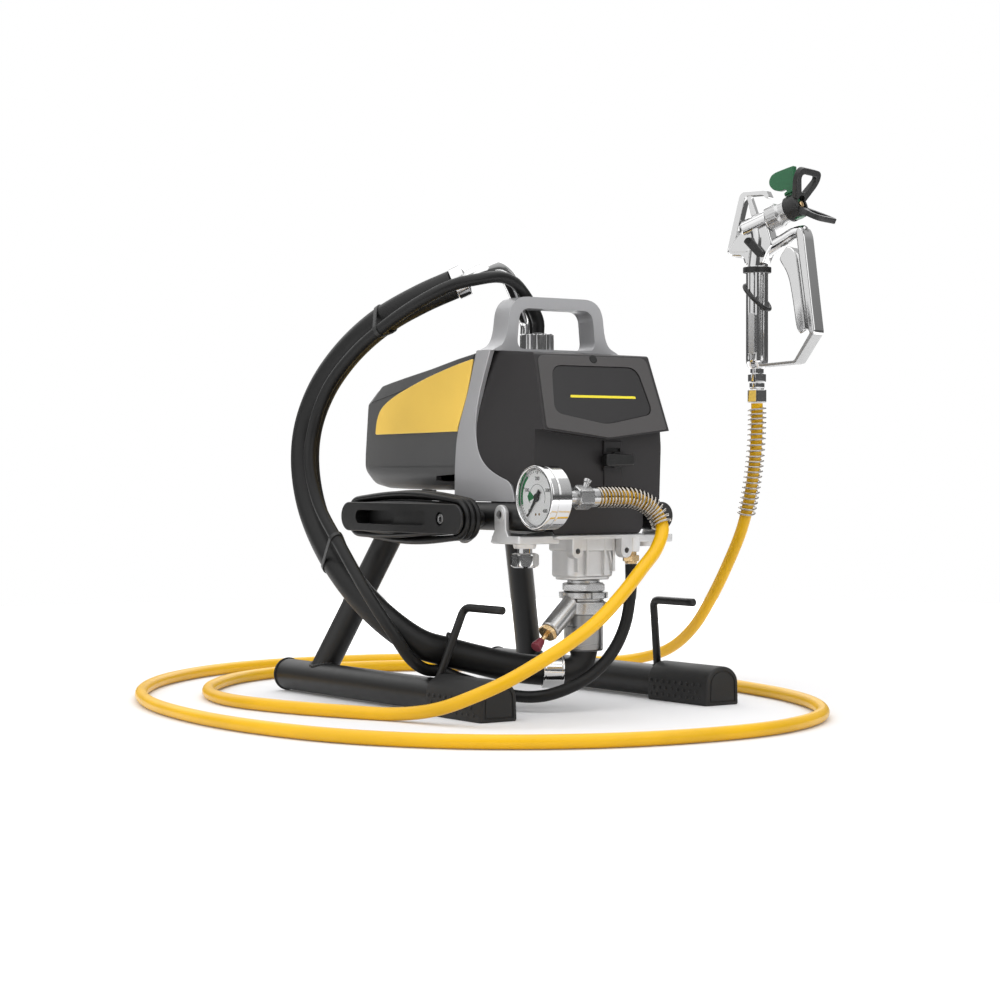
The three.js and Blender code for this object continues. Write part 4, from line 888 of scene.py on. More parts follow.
# A near-black plug fills the cover's screw hole, its outer end a flat dark disc: painted shade in the hole. The screw
# head inside it is in the same black.
piece(gather("hole_shades", [
    turned("screw_hole_shade", smooth_profile([(4.5, -1.2), (4.5, 7), (3.6, 7), (3.6, 6), (0, 6)], 0.4), SCREW_AT,
           SCREW_WAY, 40),
    turned("screw", smooth_profile([(0, 5.4), (3.1, 5.4), (3.1, 7.6), (0, 7.6)], 0.5), SCREW_AT, SCREW_WAY, 32)]),
    "cover_screw_hole_shade", HOLE_SHADE)
boss = [rounded(prism("boss", soften([(7, 240), (31, 240), (31, 291), (7, 291)], 2), "y", -153.9, -151.5), 0.8,
                3, 50),
        rounded(prism("ridge", soften([(5.4, 258), (7.4, 258), (7.4, 291), (5.4, 291)], 0.5), "y", -155.8,
                      -151.5), 0.5, 2, 50)]
boss[0] = cut(boss[0], prism("slot", soften([(9.5, 279), (28.5, 279), (28.5, 283.4), (9.5, 283.4)], 0.8), "y",
                             -156, -150))
piece(gather("boss", boss), "prime_boss", CHARCOAL)
# A near-black floor just behind the prime slot: painted shade in the slot.
piece(block("slot_shade", (8, -151.6, 277), (30, -150.9, 285), 0.2), "prime_slot_shade", HOLE_SHADE)


def shroud_stations():
    known = [(-39.6, 84.8, 237, 387, 5), (0, 85, 237, 382, 8), (60, 85, 237, 373, 13), (120, 85, 237.5, 365, 17),
             (150, 84.6, 238.4, 360.5, 18), (168, 83.8, 241.5, 357.5, 18), (178, 82.5, 248, 352, 16),
             (182, 80, 257, 346, 14)]
    fine = []
    for a, b in zip(known, known[1:]):
        fine += [tuple(p + (q - p) * k / 4 for p, q in zip(a, b)) for k in range(4)]
    return fine + [known[-1]]


def shroud_outline(half, low, high, shoulder, wall=0.0):
    h, top, bottom = half - wall, high - wall, low + wall
    corners = [(-h + 12, bottom), (h - 12, bottom), (h, bottom + 12), (h, top - shoulder),
               (h - shoulder * 0.8, top),
               (-h + shoulder * 0.8, top), (-h, top - shoulder), (-h, bottom + 12)]
    return soften(corners, [9, 9, 9, 1.6, 1.6, 1.6, 1.6, 9], 4)


def leaned(y, z):
    """The shroud's rear end leans: its foot stands further back than its top."""
    return y + max(0.0, (y - 120) / 63) * ((345 - z) * 0.11 + 3)


def loft(name, sections):
    """Sections of (x, y, z) points with the same count, skinned and closed at both ends."""
    count = len(sections[0])
    faces = [(s * count + i, s * count + (i + 1) % count, (s + 1) * count + (i + 1) % count, (s + 1) * count + i)
             for s in range(len(sections) - 1) for i in range(count)]
    faces += [tuple(range(count)), tuple(range((len(sections) - 1) * count, len(sections) * count))]
    return mesh_object(name, [q for section in sections for q in section], faces)


def shroud():
    stations = shroud_stations()
    outside = loft("shroud", [[(x, leaned(y, z), z) for x, z in shroud_outline(half, low, high, s)]
                              for y, half, low, high, s in stations])
    outside = rounded(outside, 3.0, 3, 40)
    inside = [(y - 3 if y > 0 else y, half, low, high, s) for y, half, low, high, s in stations if y < 164]
    inside[0] = (-46,) + inside[0][1:]
    hollow = loft("hollow", [[(x, leaned(y, z), z) for x, z in shroud_outline(half, low, high, s, 4.5)]
                             for y, half, low, high, s in inside])
    ahead = [(-44, 392), (-47, 340), (-12, 304), (-8, 270), (-7, 224), (-60, 224), (-60, 392)]
    tools = [hollow]
    for _, s in SIDES:
        low, high = sorted((s * 79.8, s * 95))
        tools.append(prism("ahead", ahead, "x", low, high))
        vent = soften([(-6, 246), (38, 247.6), (35, 253), (-6, 255)], 2)
        tools.append(prism("vent", vent, "x", *sorted((s * 74, s * 95))))
        tools.append(prism("crease", soften([(-8, 262.6), (168, 262.6), (168, 264.2), (-8, 264.2)], 0.5), "x",
                           *sorted((s * 84.2, s * 95))))
    return cut(outside, *tools)


piece(shroud(), "rear_shroud_moulding", GREY, stands_for="rear_shroud", sharp=32)


def shroud_cap():
    sections = []
    for y, half, low, high, s in shroud_stations():
        if y > 172:
            break
        side, flat = half + 0.7, high + 0.7
        outer = soften([(side, high - s - 1), (side - s * 0.8, flat), (-side + s * 0.8, flat),
                        (-side, high - s - 1)],
                       [0, 2.2, 2.2, 0], 4)
        inner = [(-side + 1.6, high - s - 1), (-side + s * 0.8 + 1, flat - 1.6),
                 (side - s * 0.8 - 1, flat - 1.6), (side - 1.6, high - s - 1)]
        sections.append([(x, leaned(y, z) + (0.8 if y < -30 else 0), z) for x, z in outer + inner])
    return rounded(loft("cap", sections), 0.5, 2, 50)


piece(shroud_cap(), "shroud_top", GLOSS_BLACK, sharp=30)
PANEL = [(-9, 302), (161, 300.5), (158, 318), (148, 332), (120, 344.5), (60, 361.5), (0, 374.5), (-40, 381),
         (-29, 345), (-9.5, 306)]
for name, side in SIDES:
    low, high = sorted((side * 84.6, side * 86.5))
    panel = rounded(prism("panel", soften(PANEL, [1, 3, 14, 16, 24, 24, 24, 3, 16, 3], 6), "x", low, high), 0.7,
                    3, 50)
    piece(panel, name + "_yellow_panel", YELLOW, stands_for=name + "_side_panel")

# ---- cord wrap ------------------------------------------------------------------------------------------------


def obround(front, rear, half, steps=16):
    return arc((rear - half, WRAP_Z), half, -90, 90, steps) + arc((front + half, WRAP_Z), half, 90, 270, steps)


wrap = rounded(prism("wrap", obround(-98.5, 147.7, 16.3), "x", -141, -138), 1.1, 3, 50)
core = prism("core", obround(-80.5, 129.7, 8.4), "x", -139.4, -98)
wrap = fuse(wrap, core)
wrap = cut(wrap, prism("pocket", obround(44, 116, 7.6), "x", -143, -125),
           prism("shallow_pocket", obround(-29, 116, 7.6), "x", -143, -134.5),
           turned("bolt_hole", [(0, 0), (7.4, 0), (7.4, 9), (0, 9)], (-144, -56, WRAP_Z), (1, 0, 0), 40))
piece(wrap, "cord_wrap_bracket", BLACK_PLASTIC, stands_for="cord_wrap")


def hexagon(flat, phase=0.0):
    """A flute for turned() that holds a piece to a hexagon's width across its flats."""
    return lambda a, r, d: min(r, flat / math.cos(((a + phase) % (math.pi / 3)) - math.pi / 6))


def hex_socket(flat, within):
    """A flute for turned() that gives a hexagon only to the wall inside a radius."""
    shape = hexagon(flat)
    return lambda a, r, d: shape(a, r, d) if r < within else r


def hex_band(flat, low, high):
    """A flute for turned() that gives a hexagon only to one stretch of its length."""
    shape = hexagon(flat)
    return lambda a, r, d: shape(a, r, d) if low < d < high else r


bolt = turned("bolt", smooth_profile([(0, 0), (5.6, 0), (5.6, 5), (3.2, 5), (3.2, 1.6), (0, 1.6)][::-1], 0.5),
              (-135.2, -56, WRAP_Z), (-1, 0, 0), 48, hex_socket(2.7, 3.4))
piece(bolt, "wrap_bolt", DARK_STEEL)

# ---- casting and pump -----------------------------------------------------------------------------------------

AXIS = (0, -126, 0)
UP = (0, 0, 1)
EAR_Y, EAR_Z = -116, 212
LUG_X, LUG_Z = 33, 173
ROD_ROOM = 12.9
BARB_AT = (46.5, -150, 0)
FILTER_AT = (-82, -131, 0)


def casting():
    """Each part of the casting has its own soft edges before they run together."""
    body = rounded(prism("casting", soften([(-60, -160), (60, -160), (60, -46), (-60, -46)], 5), "z", 185.6,
                         189.8), 1.2, 3, 50)
    block_line = [(-30, -139), (-24, -145), (24, -145), (30, -139), (30, -107), (-30, -107)]
    waist_line = [(-32, -143), (-26, -149), (26, -149), (32, -143), (32, -103), (-32, -103)]
    parts = [rounded(prism("block", soften(block_line, 4), "z", 144, 188), 2.8, 4, 40),
             rounded(prism("waist", soften(waist_line, 6), "z", 172, 188), 2.4, 4, 40),
             rounded(prism("foot",
                           soften([(-27, -137), (-22, -142), (22, -142), (27, -137), (27, -110), (-27, -110)],
                                  3), "z", 141, 150), 1.4, 3, 40),
             turned("boss", [(0, 171), (8.4, 171), (9, 171.6), (10.5, 188), (0, 188)], BARB_AT, UP, 40)]
    for side in (-1, 1):
        low, high = sorted((side * 104, side * 50))
        parts.append(rounded(prism("wing", soften([(low, -152), (high, -152), (high, -100), (low, -100)], 3),
                                   "z", 181, 189.6), 1.4, 3, 50))
        ear = [(-136, 182), (-98, 182), (-106, 196)] + arc((EAR_Y, EAR_Z), 10.5, 5, 175, 16) + [(-127, 196)]
        parts.append(rounded(prism("ear", ear, "x", *sorted((side * 98.8, side * 104))), 1.3, 3, 50))
        parts.append(turned("ring", [(0, 0), (7.6, 0), (7.2, 1.2), (0, 1.2)], (side * 103.6, EAR_Y, EAR_Z),
                            (side, 0, 0), 40))
        for place, foot in ((12, 146), (24, 150)):
            rib = [(side * place - 1.5, -149.4), (side * place + 1.5, -149.4), (side * place + 1.5, -138),
                   (side * place - 1.5, -138)]
            parts.append(rounded(prism("rib", rib, "z", foot, 187), 0.7, 2, 50))
        lug = arc((side * LUG_X, LUG_Z - 1), 7.2, 180, 360, 14)
        lug = [(side * LUG_X - 7, 189)] + lug + [(side * LUG_X + 7, 189)]
        parts.append(rounded(prism("lug", lug, "y", -160, -148), 1.1, 3, 50))
        parts.append(turned("plug_boss", [(0, 176), (11, 176), (11.5, 176.5), (14, 186), (0, 186)],
                            (side * 82, -131, 0), UP, 40))
    parts.append(prism("brace", [(14, 186), (17, 186), (24, 156), (22, 156)], "y", -147.6, -140))
    body = fuse(body, *parts)
    holes = []
    for side in (-1, 1):
        holes.append(turned("hole", [(0, 0), (4.6, 0), (4.6, 16), (0, 16)], (side * 94, EAR_Y, EAR_Z),
                            (side, 0, 0), 32))
        holes.append(turned("hole", [(0, 0), (3, 0), (3, 16), (0, 16)], (side * LUG_X, -162, LUG_Z), (0, 1, 0),
                            32))
    holes.append(turned("rod_bore", [(0, 130), (ROD_ROOM, 130), (ROD_ROOM, 195), (0, 195)], AXIS, UP, 48))
    body = cut(body, *holes)
    shell = cut(prism("shell", [(-57, -146), (57, -146), (57, -46), (-57, -46)], "z", 189, 300),
                prism("shell_room", [(-53, -142), (53, -142), (53, -50), (-53, -50)], "z", 192, 301),
                turned("rod_bore", [(0, 180), (ROD_ROOM, 180), (ROD_ROOM, 195), (0, 195)], AXIS, UP, 48))
    return gather("casting", [body, shell])


piece(casting(), "pump_casting", CAST, stands_for="gear_casting", sharp=34)
# Near-black discs set inside the ear and lug holes: painted shade in the holes.
hole_shades = [turned("bore", [(0, 0), (4.55, 0), (4.55, 0.6), (0, 0.6)], (s * 100.2, EAR_Y, EAR_Z), (s, 0, 0), 32)
         for s in (-1, 1)]
hole_shades += [turned("bore", [(0, 0), (2.95, 0), (2.95, 0.6), (0, 0.6)], (s * LUG_X, -152, LUG_Z), (0, 1, 0), 32)
          for s in (-1, 1)]
piece(gather("hole_shades", hole_shades), "casting_hole_shades", HOLE_SHADE)

nut = turned("nut", [(18.2, 128), (21.2, 128), (24.6, 129.6), (24.8, 130), (24.8, 135.6), (24.6, 136),
                     (21.2, 137.5), (18.2, 137.5), (18.2, 128)],
             AXIS, UP, 96, hexagon(21.65))
piece(nut, "lock_nut", STEEL, stands_for="pump_lock_nut", sharp=24)


def notched(a, r, d):
    """The cylinder's top flange has wide notches for a spanner."""
    return r - 2.6 if r > 25.9 and (a % (math.pi / 3)) < 0.26 else r


barrel_line = soften([(13, 104), (25.5, 104), (25.5, 117), (22, 118), (22, 120.5), (26.5, 121), (26.5, 127.5),
                      (17.5, 127.5), (17.5, 140.6), (13, 140.6)], 0.8, 3)
barrel = turned("barrel", barrel_line + [barrel_line[0]], AXIS, UP, 144, notched)
piece(barrel, "cylinder_barrel", STEEL, stands_for="pump_cylinder", sharp=34)


def valve_flats(a, r, d):
    """Two wide spanner flats on the lower half of the valve body."""
    return min(r, 20.2 / max(abs(math.cos(a - 0.5)), 0.01)) if 66.5 < d < 88 else r


valve_line = soften([(9, 64), (20, 64), (21.5, 66), (21.5, 90), (20.5, 91), (20.5, 103.6), (13, 103.6),
                     (13, 72), (9, 72)], 0.7, 3)
valve = turned("valve", valve_line + [valve_line[0]], AXIS, UP, 120, valve_flats)
clip_line = [(20.9 * math.cos(t), -126 + 20.9 * math.sin(t), 71 + 1.4 * math.sin(3 * t))
             for t in (2 * math.pi * k / 60 for k in range(52))]
piece(gather("valve", [valve, tube("clip", clip_line, 0.9, 10, dome=0.5)]), "valve_body", DARK_STEEL,
      stands_for="inlet_valve_body", sharp=34)

PUSH_FROM = Vector((0, -126, 131))
PUSH_WAY = Vector((-0.77, -0.15, -0.62)).normalized()
housing_line = smooth_profile([(0, 24), (10.8, 24), (10.8, 68), (9.6, 69.4), (3.2, 69.4), (3.2, 48), (0, 48)],
                              0.9)
housing = cut(turned("housing", housing_line, PUSH_FROM, PUSH_WAY, 64),
              turned("room", [(0, 50), (21.0, 50), (21.0, 112), (0, 112)], AXIS, UP, 64),
              turned("room", [(0, 103), (25.2, 103), (25.2, 140), (0, 140)], AXIS, UP, 64))
piece(housing, "pusher_barrel", STEEL, stands_for="pusher_housing", sharp=34)
gland = turned("gland", [(3.2, 69.8), (9.2, 69.8), (10.4, 70.6), (10.8, 71), (10.8, 74.2), (10.4, 74.6),
                         (9.2, 75.4), (3.2, 75.4), (3.2, 69.8)],
               PUSH_FROM, PUSH_WAY, 96, hexagon(9.4))
piece(gland, "pusher_gland", BRASS, stands_for="pusher_nut", sharp=24)
button = turned("button", smooth_profile([(0, 84.5), (3.6, 84.5), (4.2, 86), (6.3, 95.4), (5.8, 97), (0, 97)],
                                         0.7), PUSH_FROM, PUSH_WAY, 48)
piece(button, "pusher_cap", RED, "pusher", stands_for="pusher_button", sharp=40)
stem = turned("stem", smooth_profile([(0, 56), (2.7, 56), (2.7, 85), (0, 85)], 0.3), PUSH_FROM, PUSH_WAY, 40)
piece(stem, "pusher_stem", BRASS, "pusher")

elbow_line = bezier((0, -126, 63.6), (0, -126, 42), (-19, -115, 42), 22)
piece(tube("elbow", elbow_line + [Vector((-30, -108.3, 42.4))],
           lambda t: 13.5 + 1.6 * math.exp(-(t / 0.1) ** 2), 48), "rubber_elbow", RUBBER,
      stands_for="suction_elbow", weighted=False)
clamp_way = (Vector(SUCTION[1]) - Vector(SUCTION[0])).normalized()
band_line = soften([(16.6, 0.6), (19.2, 0.6), (19.5, 2.4), (19.1, 3.4), (19.1, 20.4), (19.5, 21.4),
                    (19.2, 23.2), (16.6, 23.2)], 0.5, 3)
clamp = turned("clamp", band_line + [band_line[0]], SUCTION[0], clamp_way, 72)
screw_at = Vector(SUCTION[0]) + clamp_way * 12 + clamp_way.cross(Vector((0, 0, 1))) * 21.5
worm = turned("worm", smooth_profile([(0, -8), (3.6, -8), (3.6, 6), (2.6, 6), (2.6, 8.5), (0, 8.5)], 0.7),
              screw_at, (0, 0, 1), 36)
piece(gather("clamp", [clamp, worm]), "hose_clamp", CHROME, stands_for="suction_clamp", sharp=34)

barb = turned("barb", smooth_profile([(0, 157.8), (6.6, 157.8), (6.6, 160), (8.9, 160.6), (9.6, 161.4),
                                      (9.6, 166.2), (8.9, 167), (6, 167.4), (6, 172), (0, 172)], 0.3),
              BARB_AT, UP, 72, hex_band(8.3, 160.4, 167))
piece(barb, "return_barb", BRASS, stands_for="return_fitting", sharp=26)
filter_nut = turned("filter_nut", [(0, 155.8), (11, 155.8), (14, 157.2), (15.2, 158.8), (15.2, 168.6),
                                   (14, 170.2), (11, 171.4), (8, 171.6), (8, 176), (10, 176.4), (10, 181),
                                   (0, 181)],
                    FILTER_AT, UP, 96, hexagon(13.2, math.radians(30)))
piece(filter_nut, "filter_cap", CHROME, stands_for="filter_plug", sharp=24)

# ---- gauge, tee and controls ----------------------------------------------------------------------------------

GAUGE = Vector((-119.3, -198, 231))
INWARD = Vector((1, 0, 0))
case = turned("case",
              smooth_profile([(0, 6.4), (29.4, 6.4), (29.6, 1.4), (30.4, 0.1), (32.2, 0.1), (33.5, 1.6),
                              (33.5, 8.4), (32.6, 9.2),
    (32.6, 10.4), (33.1, 11), (33.1, 25.4), (30.6, 27.5), (0, 27.5)], 0.7, 4), GAUGE, INWARD, 128)
piece(case, "gauge_housing", CHROME, stands_for="gauge_case", sharp=34)
card = turned("card", [(0, 5.6), (28.9, 5.6), (29.1, 5.8), (29.1, 6.6), (0, 6.6)], GAUGE, INWARD, 96)
piece(card, "gauge_dial", DIAL_WHITE)
DIAL_X = GAUGE.x + 5.5


def dial_point(radius, degrees):
    """A place on the dial; 0 is to the right as it is read, 90 is up."""
    a = math.radians(degrees)
    return (GAUGE.y - radius * math.cos(a), GAUGE.z + radius * math.sin(a))


def dial_shape(name, outline, proud=0.12):
    return prism(name, outline, "x", DIAL_X - proud, DIAL_X + 0.2)


def dial_sector(name, inner, outer, start, end, steps=20):
    angles = [start + (end - start) * k / steps for k in range(steps + 1)]
    return dial_shape(name,
                      [dial_point(outer, a) for a in angles] + [dial_point(inner, a) for a in reversed(angles)])


def dial_number(text, radius, degrees, size):
    curve = bpy.data.curves.new("number", "FONT")
    curve.body, curve.size, curve.extrude = text, size * 0.001, 0.00008
    curve.align_x, curve.align_y = "CENTER", "CENTER"
    made = bpy.data.objects.new("number", curve)
    bpy.context.collection.objects.link(made)
    bpy.context.view_layer.update()
    data = bpy.data.meshes.new_from_object(made.evaluated_get(bpy.context.evaluated_depsgraph_get()))
    discard(made)
    y, z = dial_point(radius, degrees)
    face = Matrix(((0, 0, -1, 0), (-1, 0, 0, 0), (0, 1, 0, 0), (0, 0, 0, 1)))
    data.transform(Matrix.Translation(at(DIAL_X - 0.08, y, z)) @ face)
    made = bpy.data.objects.new("number", data)
    bpy.context.collection.objects.link(made)
    return made


SWEEP_FROM, SWEEP_TO = 225, -45
ink = []
for k in range(41):
    a = SWEEP_FROM + (SWEEP_TO - SWEEP_FROM) * k / 40
    long = k % 10 == 0
    ink.append(dial_sector("tick", 24.2 if long else (25.2 if k % 5 == 0 else 26.0), 27.6,
                           a - (1.1 if long else 0.55), a + (1.1 if long else 0.55), 2))
for k, number in enumerate(("0", "100", "200", "300", "400")):
    ink.append(dial_number(number, 19.6, SWEEP_FROM + (SWEEP_TO - SWEEP_FROM) * k / 4, 5.4))
ink.append(dial_sector("inner_ring", 13.6, 13.9, 205, -25, 60))
piece(gather("ink", ink), "gauge_scale", DIAL_BLACK, sharp=20, weighted=False)
green = [dial_sector("zone", 25.4, 28.4, 196, 128),
         dial_shape("wedge", [dial_point(4, 180), dial_point(15, 196), dial_point(17, 176), dial_point(15, 152)])]
piece(gather("green", green), "gauge_green_zone", DIAL_GREEN, weighted=False)
dots = [turned("dot", [(0, 0), (1.3, 0), (1.3, 0.2), (0, 0.2)], (DIAL_X - 0.15, *dial_point(17.5, a)), INWARD,
               20) for a in (-78, -98)]
piece(gather("dots", dots), "gauge_dots", BRASS)
rest_angle = math.radians(-142)


def pointer():
    outline = [(-2.4, -9), (2.4, -9), (2.0, -2), (0.55, 25.2), (-0.55, 25.2), (-2.0, -2)]
    turn = [(a * math.cos(rest_angle) - b * math.sin(rest_angle),
             a * math.sin(rest_angle) + b * math.cos(rest_angle)) for a, b in outline]
    blade = prism("blade", [(GAUGE.y + a, GAUGE.z + b) for a, b in turn], "x", GAUGE.x + 3.8, GAUGE.x + 4.5)
    hub = turned("hub", smooth_profile([(0, 3.0), (3.4, 3.0), (4.4, 4.0), (4.4, 4.8), (0, 4.8)], 0.5), GAUGE,
                 INWARD, 40)
    return gather("pointer", [blade, hub])


piece(pointer(), "gauge_hand", DIAL_BLACK, "gauge_needle", stands_for="gauge_pointer",
      weighted=False)


def line_at(x):
    return (x, GAUGE.y, GAUGE.z)


tee_parts = [
    turned("neck", smooth_profile([(0, 0), (9, 0), (9, 4), (6.2, 5.6), (5.4, 9), (5.4, 14), (7.4, 17),
                                   (7.4, 26), (0, 26)], 0.8), line_at(-91.6), INWARD, 56),
    turned("hex", [(0, 0), (10.4, 0), (12.6, 1.2), (13, 1.8), (13, 17.2), (12.6, 17.8), (10.4, 19), (0, 19)],
           line_at(-66), INWARD, 96, hexagon(11.3)),
    turned("collar", smooth_profile([(0, 0), (10.5, 0), (10.5, 9.5), (7.4, 9.5), (7.4, 9.0), (0, 9.0)], 0.7),
           line_at(-48), INWARD, 56),
    turned("nipple", smooth_profile([(0, 0), (7, 0), (7, 20), (8.6, 20.6), (8.6, 30), (7, 30.6), (7, 51.6),
                                     (0, 51.6)], 0.6), (-52, GAUGE.y, GAUGE.z), (0, 1, 0), 48),
    turned("bleed", smooth_profile([(0, 0), (3.4, 0), (3.4, 16), (4.4, 16.4), (4.4, 20), (0, 20)], 0.5),
           (-56, GAUGE.y, GAUGE.z), (0.35, 0, 0.94), 32)]
piece(gather("tee", tee_parts), "outlet_fitting", SATIN, stands_for="outlet_tee", sharp=26)


def spring_guard(name, line, turns, radius):
    helix = coil_line(line, radius, turns, 16)
    return piece(tube(name, helix, 1.2, 10, dome=0.6), name, SPRING, weighted=False)


def stretch(line, start, end):
    """The part of a line between two lengths from its start."""
    run, result = 0.0, []
    for a, b in zip(line, line[1:]):
        if start <= run <= end:
            result.append(a)
        run += (b - a).length
    return result


spring_guard("outlet_spring", stretch(spray_line, 0, 96), 21, 10.4)
spring_guard("gun_spring", stretch(spray_line, length_of(spray_line) - 140, length_of(spray_line) - 2), 21, 9.9)

bar = rounded(prism("bar", soften([(0.6, 263.3), (38.6, 264.6), (38.6, 276), (0.6, 277.3)], 3.2), "y", -167,
                    -157), 1.6, 4, 50)
hub = turned("hub", smooth_profile([(0, 0), (8.6, 0), (8.6, 6), (6, 6.4), (6, 9.4), (0, 9.4)], 0.7), PRIME_AT,
             (0, 1, 0), 48)
mark = rounded(prism("mark", [(2.4, 269.7), (12, 269.7), (12, 270.9), (2.4, 270.9)], "y", -167.3, -166), 0.2, 2,
               50)
piece(gather("prime", [bar, hub, mark]), "prime_lever", BLACK_PLASTIC, "prime_knob",
      stands_for="prime_knob")
dial_grip = turned("grip",
                   smooth_profile([(0, 0), (17, 0), (17, 3), (15.4, 4), (14.6, 15), (13, 17), (0, 16.4)], 1.0),
                   DIAL_AT, (1, 0, 0), 144,
                   lambda a, r, d: r * (1 - 0.05 * (0.5 + 0.5 * math.cos(18 * a))) if 4 < d < 16 and r > 12 else r)
spindle = turned("spindle", [(0, -6), (4, -6), (4, 1), (0, 1)], DIAL_AT, (1, 0, 0), 32)
line_mark = block("mark", (99.6, -110.8, 348), (100.2, -109.2, 358), 0.2)
piece(gather("dial", [dial_grip, spindle, line_mark]), "pressure_dial", BLACK_PLASTIC,
      "pressure_knob", stands_for="pressure_knob")
rocker_side = soften([(82, 294), (86.2, 293.2), (87.2, 300), (88.6, 306.4), (82, 306)], 0.8)
rocker = rounded(prism("rocker", rocker_side, "y", -117.5, -98.5), 0.8, 3, 40)
piece(rocker, "rocker_switch", RED, "power_switch", stands_for="power_switch")
bezel = cut(rounded(prism("bezel", soften([(-121.5, 290), (-94.5, 290), (-94.5, 310), (-121.5, 310)], 2), "x",
                          83, 86.2), 0.8, 3, 50),
            prism("window", [(-118, 292.2), (-98, 292.2), (-98, 307.6), (-118, 307.6)], "x", 80, 90))
piece(bezel, "switch_bezel", BLACK_PLASTIC)

strainer = turned("strainer",
                  smooth_profile([(0, 0), (17.4, 0), (19, 1.2), (19, 20.6), (17.8, 21.6), (14.5, 21.6),
                                  (14.5, 18.4), (0, 18.4)], 0.6),
                  (8, -29, 389.8), UP, 180,
                  lambda a, r, d: r - 1.5 * max(0.0, math.cos(11 * a)) ** 0.6 if r > 18.2 else r)
piece(strainer, "strainer_cap", CHROME, stands_for="suction_strainer", sharp=38)

# ---- gun ------------------------------------------------------------------------------------------------------

TILT = math.radians(20)
BARREL = Vector((math.cos(TILT), 0, math.sin(TILT)))
LIFT = Vector((-math.sin(TILT), 0, math.cos(TILT)))
BARREL_FROM = Vector((0, 0, 553.2))
TIP = BARREL_FROM + BARREL * 56


def flat_part(name, outline, half, radii=2.0, edge=1.2, middle=0.0, steps=4):
    return rounded(prism(name, soften(outline, radii, steps), "y", middle - half, middle + half), edge, 3, 45)


def grip_flutes(a, r, d):
    return r * (1 - 0.055 * max(0.0, math.cos(10 * a)) ** 0.8) if 392 < d < 500 and r > 12.5 else r


grip_line = [(0, 365.6), (10.4, 365.6), (10.8, 366.4), (10.8, 374.4), (10, 375.2), (8, 376), (8, 381),
             (11, 384), (13, 389), (13.2, 391)]
grip_line += [(13.2, 393 + 5.2 * k) for k in range(21)] + [(13.2, 503), (12.2, 505), (11.6, 512), (0, 512)]
grip = turned("grip", grip_line, (0, 0, 0), UP, 160, grip_flutes)
window = flat_part("window", [(-4.2, 398), (4.2, 398), (4.2, 448), (-4.2, 448)], 1.2, 3.4, 0.7, -13.0)
body = fuse(
    flat_part("body", [(-38, 524), (-31, 516.5), (-15, 515), (-12, 505), (13, 505), (18, 517), (26, 528),
                       (20, 548), (10, 566),
                       (-4, 564), (-14, 552), (-31, 532)], 9.6, 4.0, 3.2),
    tube("arm", catmull([(6, 0, 517), (20, 0, 526), (36, 0, 534), (50, 0, 541), (63, 0, 543)], 3),
         lambda t: 8.6 - 1.4 * t, 32, dome=5),
    tube("knee", catmull([(2, 0, 548), (4, 0, 536), (2, 0, 520), (0, 0, 503)], 3), lambda t: 11.5 + 1.2 * t, 40),
    turned("seat", smooth_profile([(0, -20), (9, -20), (12.5, -16), (12.5, 17.8), (0, 17.8)], 1.4), BARREL_FROM,
           BARREL, 64),
    flat_part("hook", [(-38, 524), (-21, 590), (-16, 594), (15, 594), (19.5, 585), (14.5, 584), (11.5, 588.5),
                       (-13, 588.5), (-29, 528)], 6, 2.2, 1.6),
    flat_part("strut", [(-13, 590), (-8, 590), (1, 566), (-6, 564)], 4, 1.0, 1.0),
    flat_part("front_bar", [(57.5, 544), (60.5, 520), (74.5, 424), (78, 418), (84, 421), (69, 540), (64, 548)],
              12.5, [5, 8, 8, 3, 4, 8, 6], 4.2, steps=5))
name_plate = flat_part("name_plate", [(-31, 522), (-8, 521), (-4, 530), (-10, 546), (-14, 547), (-27, 532)],
                       0.45, 2.5, 0.3, -9.7)
piece(on_gun(gather("gun", [body, grip, name_plate])), "gun_frame", CHROME, "gun", "gun_body", 34)
piece(on_gun(window), "grip_window", SATIN, "gun")
strap = flat_part("strap", [(74, 426), (76.6, 421), (56, 389.4), (9, 386.2), (9, 383.2), (58, 386.2),
                            (81.5, 420), (80, 426)], 12.3, 2.0, 0.9)
# The strap's steel is darker than the satin steel: painted shade.
piece(on_gun(strap), "knuckle_strap", SHADED_STRAP_STEEL, "gun")

trigger = flat_part("trigger", [(44, 525), (50, 524.5), (57, 517), (64, 470), (69.5, 424), (62, 420), (57, 428),
                                (52, 462), (46, 492), (34, 510), (36, 515)],
                    9, [2, 2, 8, 20, 4, 3, 8, 16, 14, 4, 2], 2.0)
piece(on_gun(trigger), "trigger_lever", CHROME, "trigger", "gun_trigger", 40)
lock = flat_part("lock", [(-11, 533), (-7, 538), (-1, 538), (16, 519), (15, 514), (8, 514)], 2.2, 2.2, 0.8, -12.8)
pin = turned("pin", smooth_profile([(0, 0), (4, 0), (4, 4.6), (0, 4.6)], 0.6), (-4, -10.4, 534), (0, -1, 0), 32)
piece(on_gun(gather("lock", [lock, pin])), "lock_lever", BLACK_PLASTIC, "trigger_lock",
      "trigger_lock")
clip_ring = ring_profile(13.5, 17, 496, 503, 0.9)
hump = flat_part("hump", [(-35, 503), (-12, 503), (-12, 474), (-15.5, 474), (-19.5, 488), (-33, 490)], 5,
                 [4, 1, 1, 3, 8, 4], 1.6)
loop_line = [Vector((15.0 * math.cos(t), 15.0 * math.sin(t),
                     467 - 15 * math.cos(t))) for t in (2 * math.pi * k / 48 for k in range(49))]
hump = cut(hump, turned("room", [(0, 440), (13.5, 440), (13.5, 510), (0, 510)], (0, 0, 0), UP, 64))
